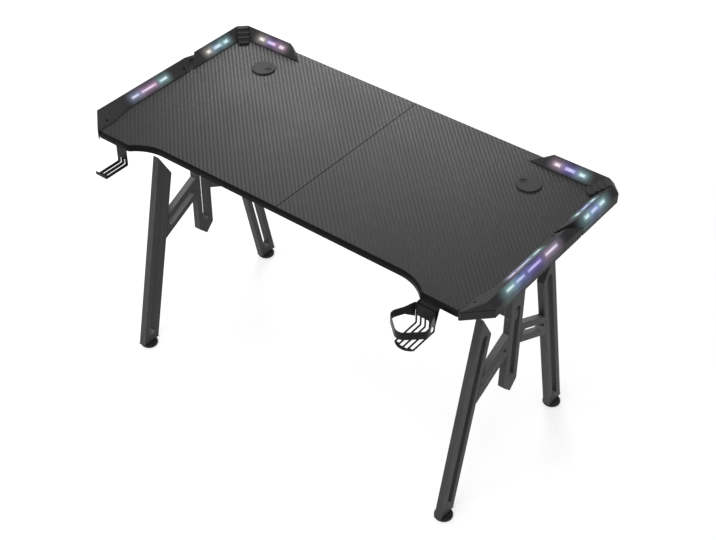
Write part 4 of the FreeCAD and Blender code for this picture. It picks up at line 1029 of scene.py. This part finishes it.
class DESK_OT_feet(bpy.types.Operator):
    """Turn the levelling feet: pad, collar and threaded stem"""

    bl_idname = "desk.feet"
    bl_label = "Levelling feet"

    def execute(self, context):
        sizes = chosen("finish")
        stem_start = 13.0 * MM
        pad_skin = coated("foot_pad_skin", sizes.foot, roughness=0.5).material
        stem_metal = dark_metal("foot_stem_metal", sizes.fastener, roughness=0.35)
        for side in SIDES:
            for end in ENDS:
                name = end + "_foot_" + side
                foot = self.foot(name)
                foot.data.materials.append(pad_skin)
                foot.data.materials.append(stem_metal)
                for face in foot.data.polygons:
                    face.material_index = int(face.center.z > stem_start)
                carried(foot, None, name, name)
        return {"FINISHED"}

    def foot(self, name):
        """One foot about the axis of its solid, from its sole up to the end of its thread."""
        low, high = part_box(name)
        middle = (low + high) / 2
        profile = self.pad((high.x - low.x) / 2) + self.thread(high.z)
        return turned(name + "_shape", middle.x, middle.y, profile)

    def pad(self, wide):
        """Profile of the pad and its collar, with rounded corners."""
        sole = wide - 2.6 * MM
        pad_end = (10.6 * MM, 9.0 * MM)
        profile = [(0.0, 0.0), (sole, 0.0)]
        profile += arc((sole, 0.8 * MM), radius=0.8 * MM, start=-80, end=-25, steps=3)
        profile += arc((wide - 1.2 * MM, 3.2 * MM), radius=1.2 * MM, start=-30, end=0, steps=2)
        profile += arc((wide - 2.0 * MM, 7.0 * MM), radius=2.0 * MM, start=0, end=80, steps=5)
        profile.append(pad_end)
        profile += arc((10.4 * MM, 10.4 * MM), radius=1.4 * MM, start=270, end=190, steps=4)
        profile += arc((8.2 * MM, 12.1 * MM), radius=0.8 * MM, start=0, end=90, steps=4)
        return profile

    def thread(self, top):
        """Profile of the threaded stem, whose turns are rings."""
        neck = (3.5 * MM, 12.9 * MM)
        root = 3.45 * MM
        crest = 3.98 * MM
        end_gap = 0.5 * MM
        pitch = chosen("finish").thread_pitch
        profile = [neck]
        height = 13.1 * MM
        while height + pitch < top - end_gap:
            profile.append((root, height))
            profile.append((crest, height + 0.42 * pitch))
            profile.append((crest, height + 0.58 * pitch))
            height += pitch
        return profile + [(3.4 * MM, height), (3.2 * MM, top), (0.0, top)]


class DESK_OT_fasteners(bpy.types.Operator):
    """Make the screws and bolts"""

    bl_idname = "desk.fasteners"
    bl_label = "Screws and bolts"

    def execute(self, context):
        sizes = chosen("finish")
        metal = dark_metal("fastener_metal", sizes.fastener, roughness=0.4)
        # Painted shade: the screws sunk in the front guards get a quarter of the fastener colour, so
        # they read dark in their holes.
        sunk_shaded = dark_metal("sunk_screw_metal", lighter(sizes.fastener, 0.25)[:3], roughness=0.5)
        screws = FastenerTree("Cross head screws", crossed=True).tree
        bolts = FastenerTree("Six sided bolts", crossed=False).tree
        for source in ("rear_guard_screws", "seam_screws", "tabletop_screws", "accessory_screws"):
            fastener_piece(source, screws, metal, sizes.round_sides, crown=1.0)
        fastener_piece("front_guard_screws", screws, sunk_shaded, sizes.round_sides, crown=1.0)
        for source in ("cross_bar_bolts", "rail_bolts"):
            fastener_piece(source, bolts, metal, sides=6, crown=0.6)
        return {"FINISHED"}


class DESK_OT_accessories(bpy.types.Operator):
    """Make the headphone hook and the cup holder"""

    bl_idname = "desk.accessories"
    bl_label = "Hook and cup holder"

    def execute(self, context):
        sizes = chosen("finish")
        coat = coated("accessory_coat", sizes.accessory, 0.36, grain=0.0009, depth=0.00004).material
        for name in ("headphone_hook", "cup_holder", "cup_holder_ring"):
            rounded_piece(name, sizes.sheet_round, coat, "accessory_steel")
        return {"FINISHED"}


class DESK_OT_controller(bpy.types.Operator):
    """Make the light controller: case, lid, button and power socket"""

    bl_idname = "desk.controller"
    bl_label = "Light controller"

    def execute(self, context):
        sizes = chosen("finish")
        skin = coated("controller_skin", sizes.controller, roughness=0.5).material
        pale = lighter(sizes.controller, 2.2)[:3]
        knob = coated("button_skin", pale, 0.42, grain=0.0006, depth=0.00003).material
        for name in ("controller_case", "controller_lid"):
            rounded_piece(name, CASE_ROUND, skin, "controller_plastic")
        rounded_piece("power_socket", SOCKET_ROUND, knob, "controller_plastic")
        rounded_piece("mode_button", CASE_ROUND, knob, "button_plastic", "mode_button", segments=3)
        return {"FINISHED"}


# Place and size of each lamp, and the point that all of them look at, in metres
LAMPS = {
    "back_lamp": ((-1.78, 2.56, 2.20), (1.8, 1.1)),
    "top_lamp": ((0.0, 0.0, 3.6), (3.0, 3.0)),
    "front_lamp": ((-2.83, -2.0, 1.60), (2.0, 1.4)),
    "fill_lamp": ((0.3, -3.0, 2.6), (2.4, 1.2)),
    "left_lamp": ((-3.6, 0.4, 1.2), (1.0, 0.8)),
}
LAMP_TARGET = Vector((0.0, 0.05, 0.70))


class DESK_OT_stage(bpy.types.Operator):
    """Set the floor, the lamps, the surroundings and the camera"""

    bl_idname = "desk.stage"
    bl_label = "Stage"

    def execute(self, context):
        scene = context.scene
        scene.view_settings.view_transform = "Standard"
        self.floor()
        self.surroundings(scene)
        for name, (place, size) in LAMPS.items():
            self.lamp(name, place, size, getattr(chosen("stage"), name))
        self.camera(scene)
        return {"FINISHED"}

    def floor(self):
        """Wide pale floor that keeps the desk's soft shadow."""
        settings = chosen("stage")
        wide = 20.0
        corners = [(-wide, -wide, 0), (wide, -wide, 0), (wide, wide, 0), (-wide, wide, 0)]
        mesh = bpy.data.meshes.new("floor")
        mesh.from_pydata(corners, [], [(0, 1, 2, 3)])
        paint = Finish("floor_paint", settings.floor, roughness=0.9, specular=0.0)
        grain = paint.noise(paint.place, scale=40.0, detail=3.0)
        paint.set("Roughness", paint.waver(grain, 0.85, 0.95))
        paint.set("Emission Color", WHITE)
        paint.set("Emission Strength", paint.product(paint.seen(), settings.floor_lift))
        mesh.materials.append(paint.material)
        new_object("floor", mesh)

    def surroundings(self, scene):
        """Even light from all round, seen as white."""
        world = bpy.data.worlds.new("studio")
        world.use_nodes = True
        scene.world = world
        sheet = Sheet(world.node_tree)
        light = sheet.between(sheet.seen(), chosen("stage").sky, 1.0)
        back = sheet.add("ShaderNodeBackground", {"Color": WHITE, "Strength": light})
        sheet.add("ShaderNodeOutputWorld", {"Surface": back.outputs[0]})

    def lamp(self, name, place, size, brightness):
        """Soft box lamp of an even brightness that looks at the desk."""
        data = bpy.data.lights.new(name, "AREA")
        data.shape = "RECTANGLE"
        data.size, data.size_y = size
        data.energy = brightness * math.pi * size[0] * size[1]
        made = bpy.data.objects.new(name, data)
        made.location = place
        made.rotation_euler = (LAMP_TARGET - made.location).to_track_quat("-Z", "Y").to_euler()
        bpy.context.scene.collection.objects.link(made)

    def camera(self, scene):
        """Camera at the photograph's place."""
        settings = chosen("stage")
        data = bpy.data.cameras.new("camera")
        data.sensor_fit = "HORIZONTAL"
        data.sensor_width = 36.0
        data.lens = settings.lens
        data.clip_end = 100.0
        flat = math.cos(settings.elevation)
        x = math.sin(settings.azimuth) * flat
        y = -math.cos(settings.azimuth) * flat
        back = Vector((x, y, math.sin(settings.elevation)))
        level_right = (-back).cross(Vector((0, 0, 1))).normalized()
        level_up = level_right.cross(-back)
        right = level_right * math.cos(settings.roll) + level_up * math.sin(settings.roll)
        up = level_up * math.cos(settings.roll) - level_right * math.sin(settings.roll)
        turn = Matrix((right, up, back)).transposed().to_4x4()
        made = bpy.data.objects.new("camera", data)
        made.matrix_world = Matrix.Translation(settings.camera_place) @ turn
        scene.collection.objects.link(made)
        scene.camera = made


STEPS = (
    DESK_OT_worktop,
    DESK_OT_guards,
    DESK_OT_corner_caps,
    DESK_OT_grommets,
    DESK_OT_frames,
    DESK_OT_feet,
    DESK_OT_fasteners,
    DESK_OT_accessories,
    DESK_OT_controller,
    DESK_OT_stage,
)


class DESK_PT_panel(bpy.types.Panel):
    """Lists the steps and settings of the desk"""

    bl_idname = "DESK_PT_panel"
    bl_label = "Gaming desk"
    bl_space_type = "VIEW_3D"
    bl_region_type = "UI"
    bl_category = "Desk"

    def draw(self, context):
        column = self.layout.column(align=True)
        for step in STEPS:
            column.operator(step.bl_idname)
        for group in (chosen("finish"), chosen("light"), chosen("stage")):
            box = self.layout.box()
            for name in group.bl_rna.properties.keys():
                if name not in ("rna_type", "name"):
                    box.prop(group, name)


SETTINGS = {"desk_finish": DeskFinish, "desk_light": DeskLight, "desk_stage": DeskStage}


def register():
    """Make the settings, operators and panel known."""
    for name, group in SETTINGS.items():
        bpy.utils.register_class(group)
        setattr(bpy.types.Scene, name, PointerProperty(type=group))
    for step in STEPS:
        bpy.utils.register_class(step)
    bpy.utils.register_class(DESK_PT_panel)


def unregister():
    """Take them away again."""
    bpy.utils.unregister_class(DESK_PT_panel)
    for step in reversed(STEPS):
        bpy.utils.unregister_class(step)
    for name, group in SETTINGS.items():
        delattr(bpy.types.Scene, name)
        bpy.utils.unregister_class(group)


def clear_start():
    """Remove what the start-up file holds besides the frame."""
    kept = set(nodes.values()) | set(frame["bodies"].values())
    for thing in list(bpy.data.objects):
        if thing not in kept:
            bpy.data.objects.remove(thing)


def main():
    """Dress the desk step by step."""
    clear_start()
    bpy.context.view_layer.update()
    register()
    for step in STEPS:
        area, name = step.bl_idname.split(".")
        getattr(getattr(bpy.ops, area), name)()


if __name__ == "__main__":
    main()
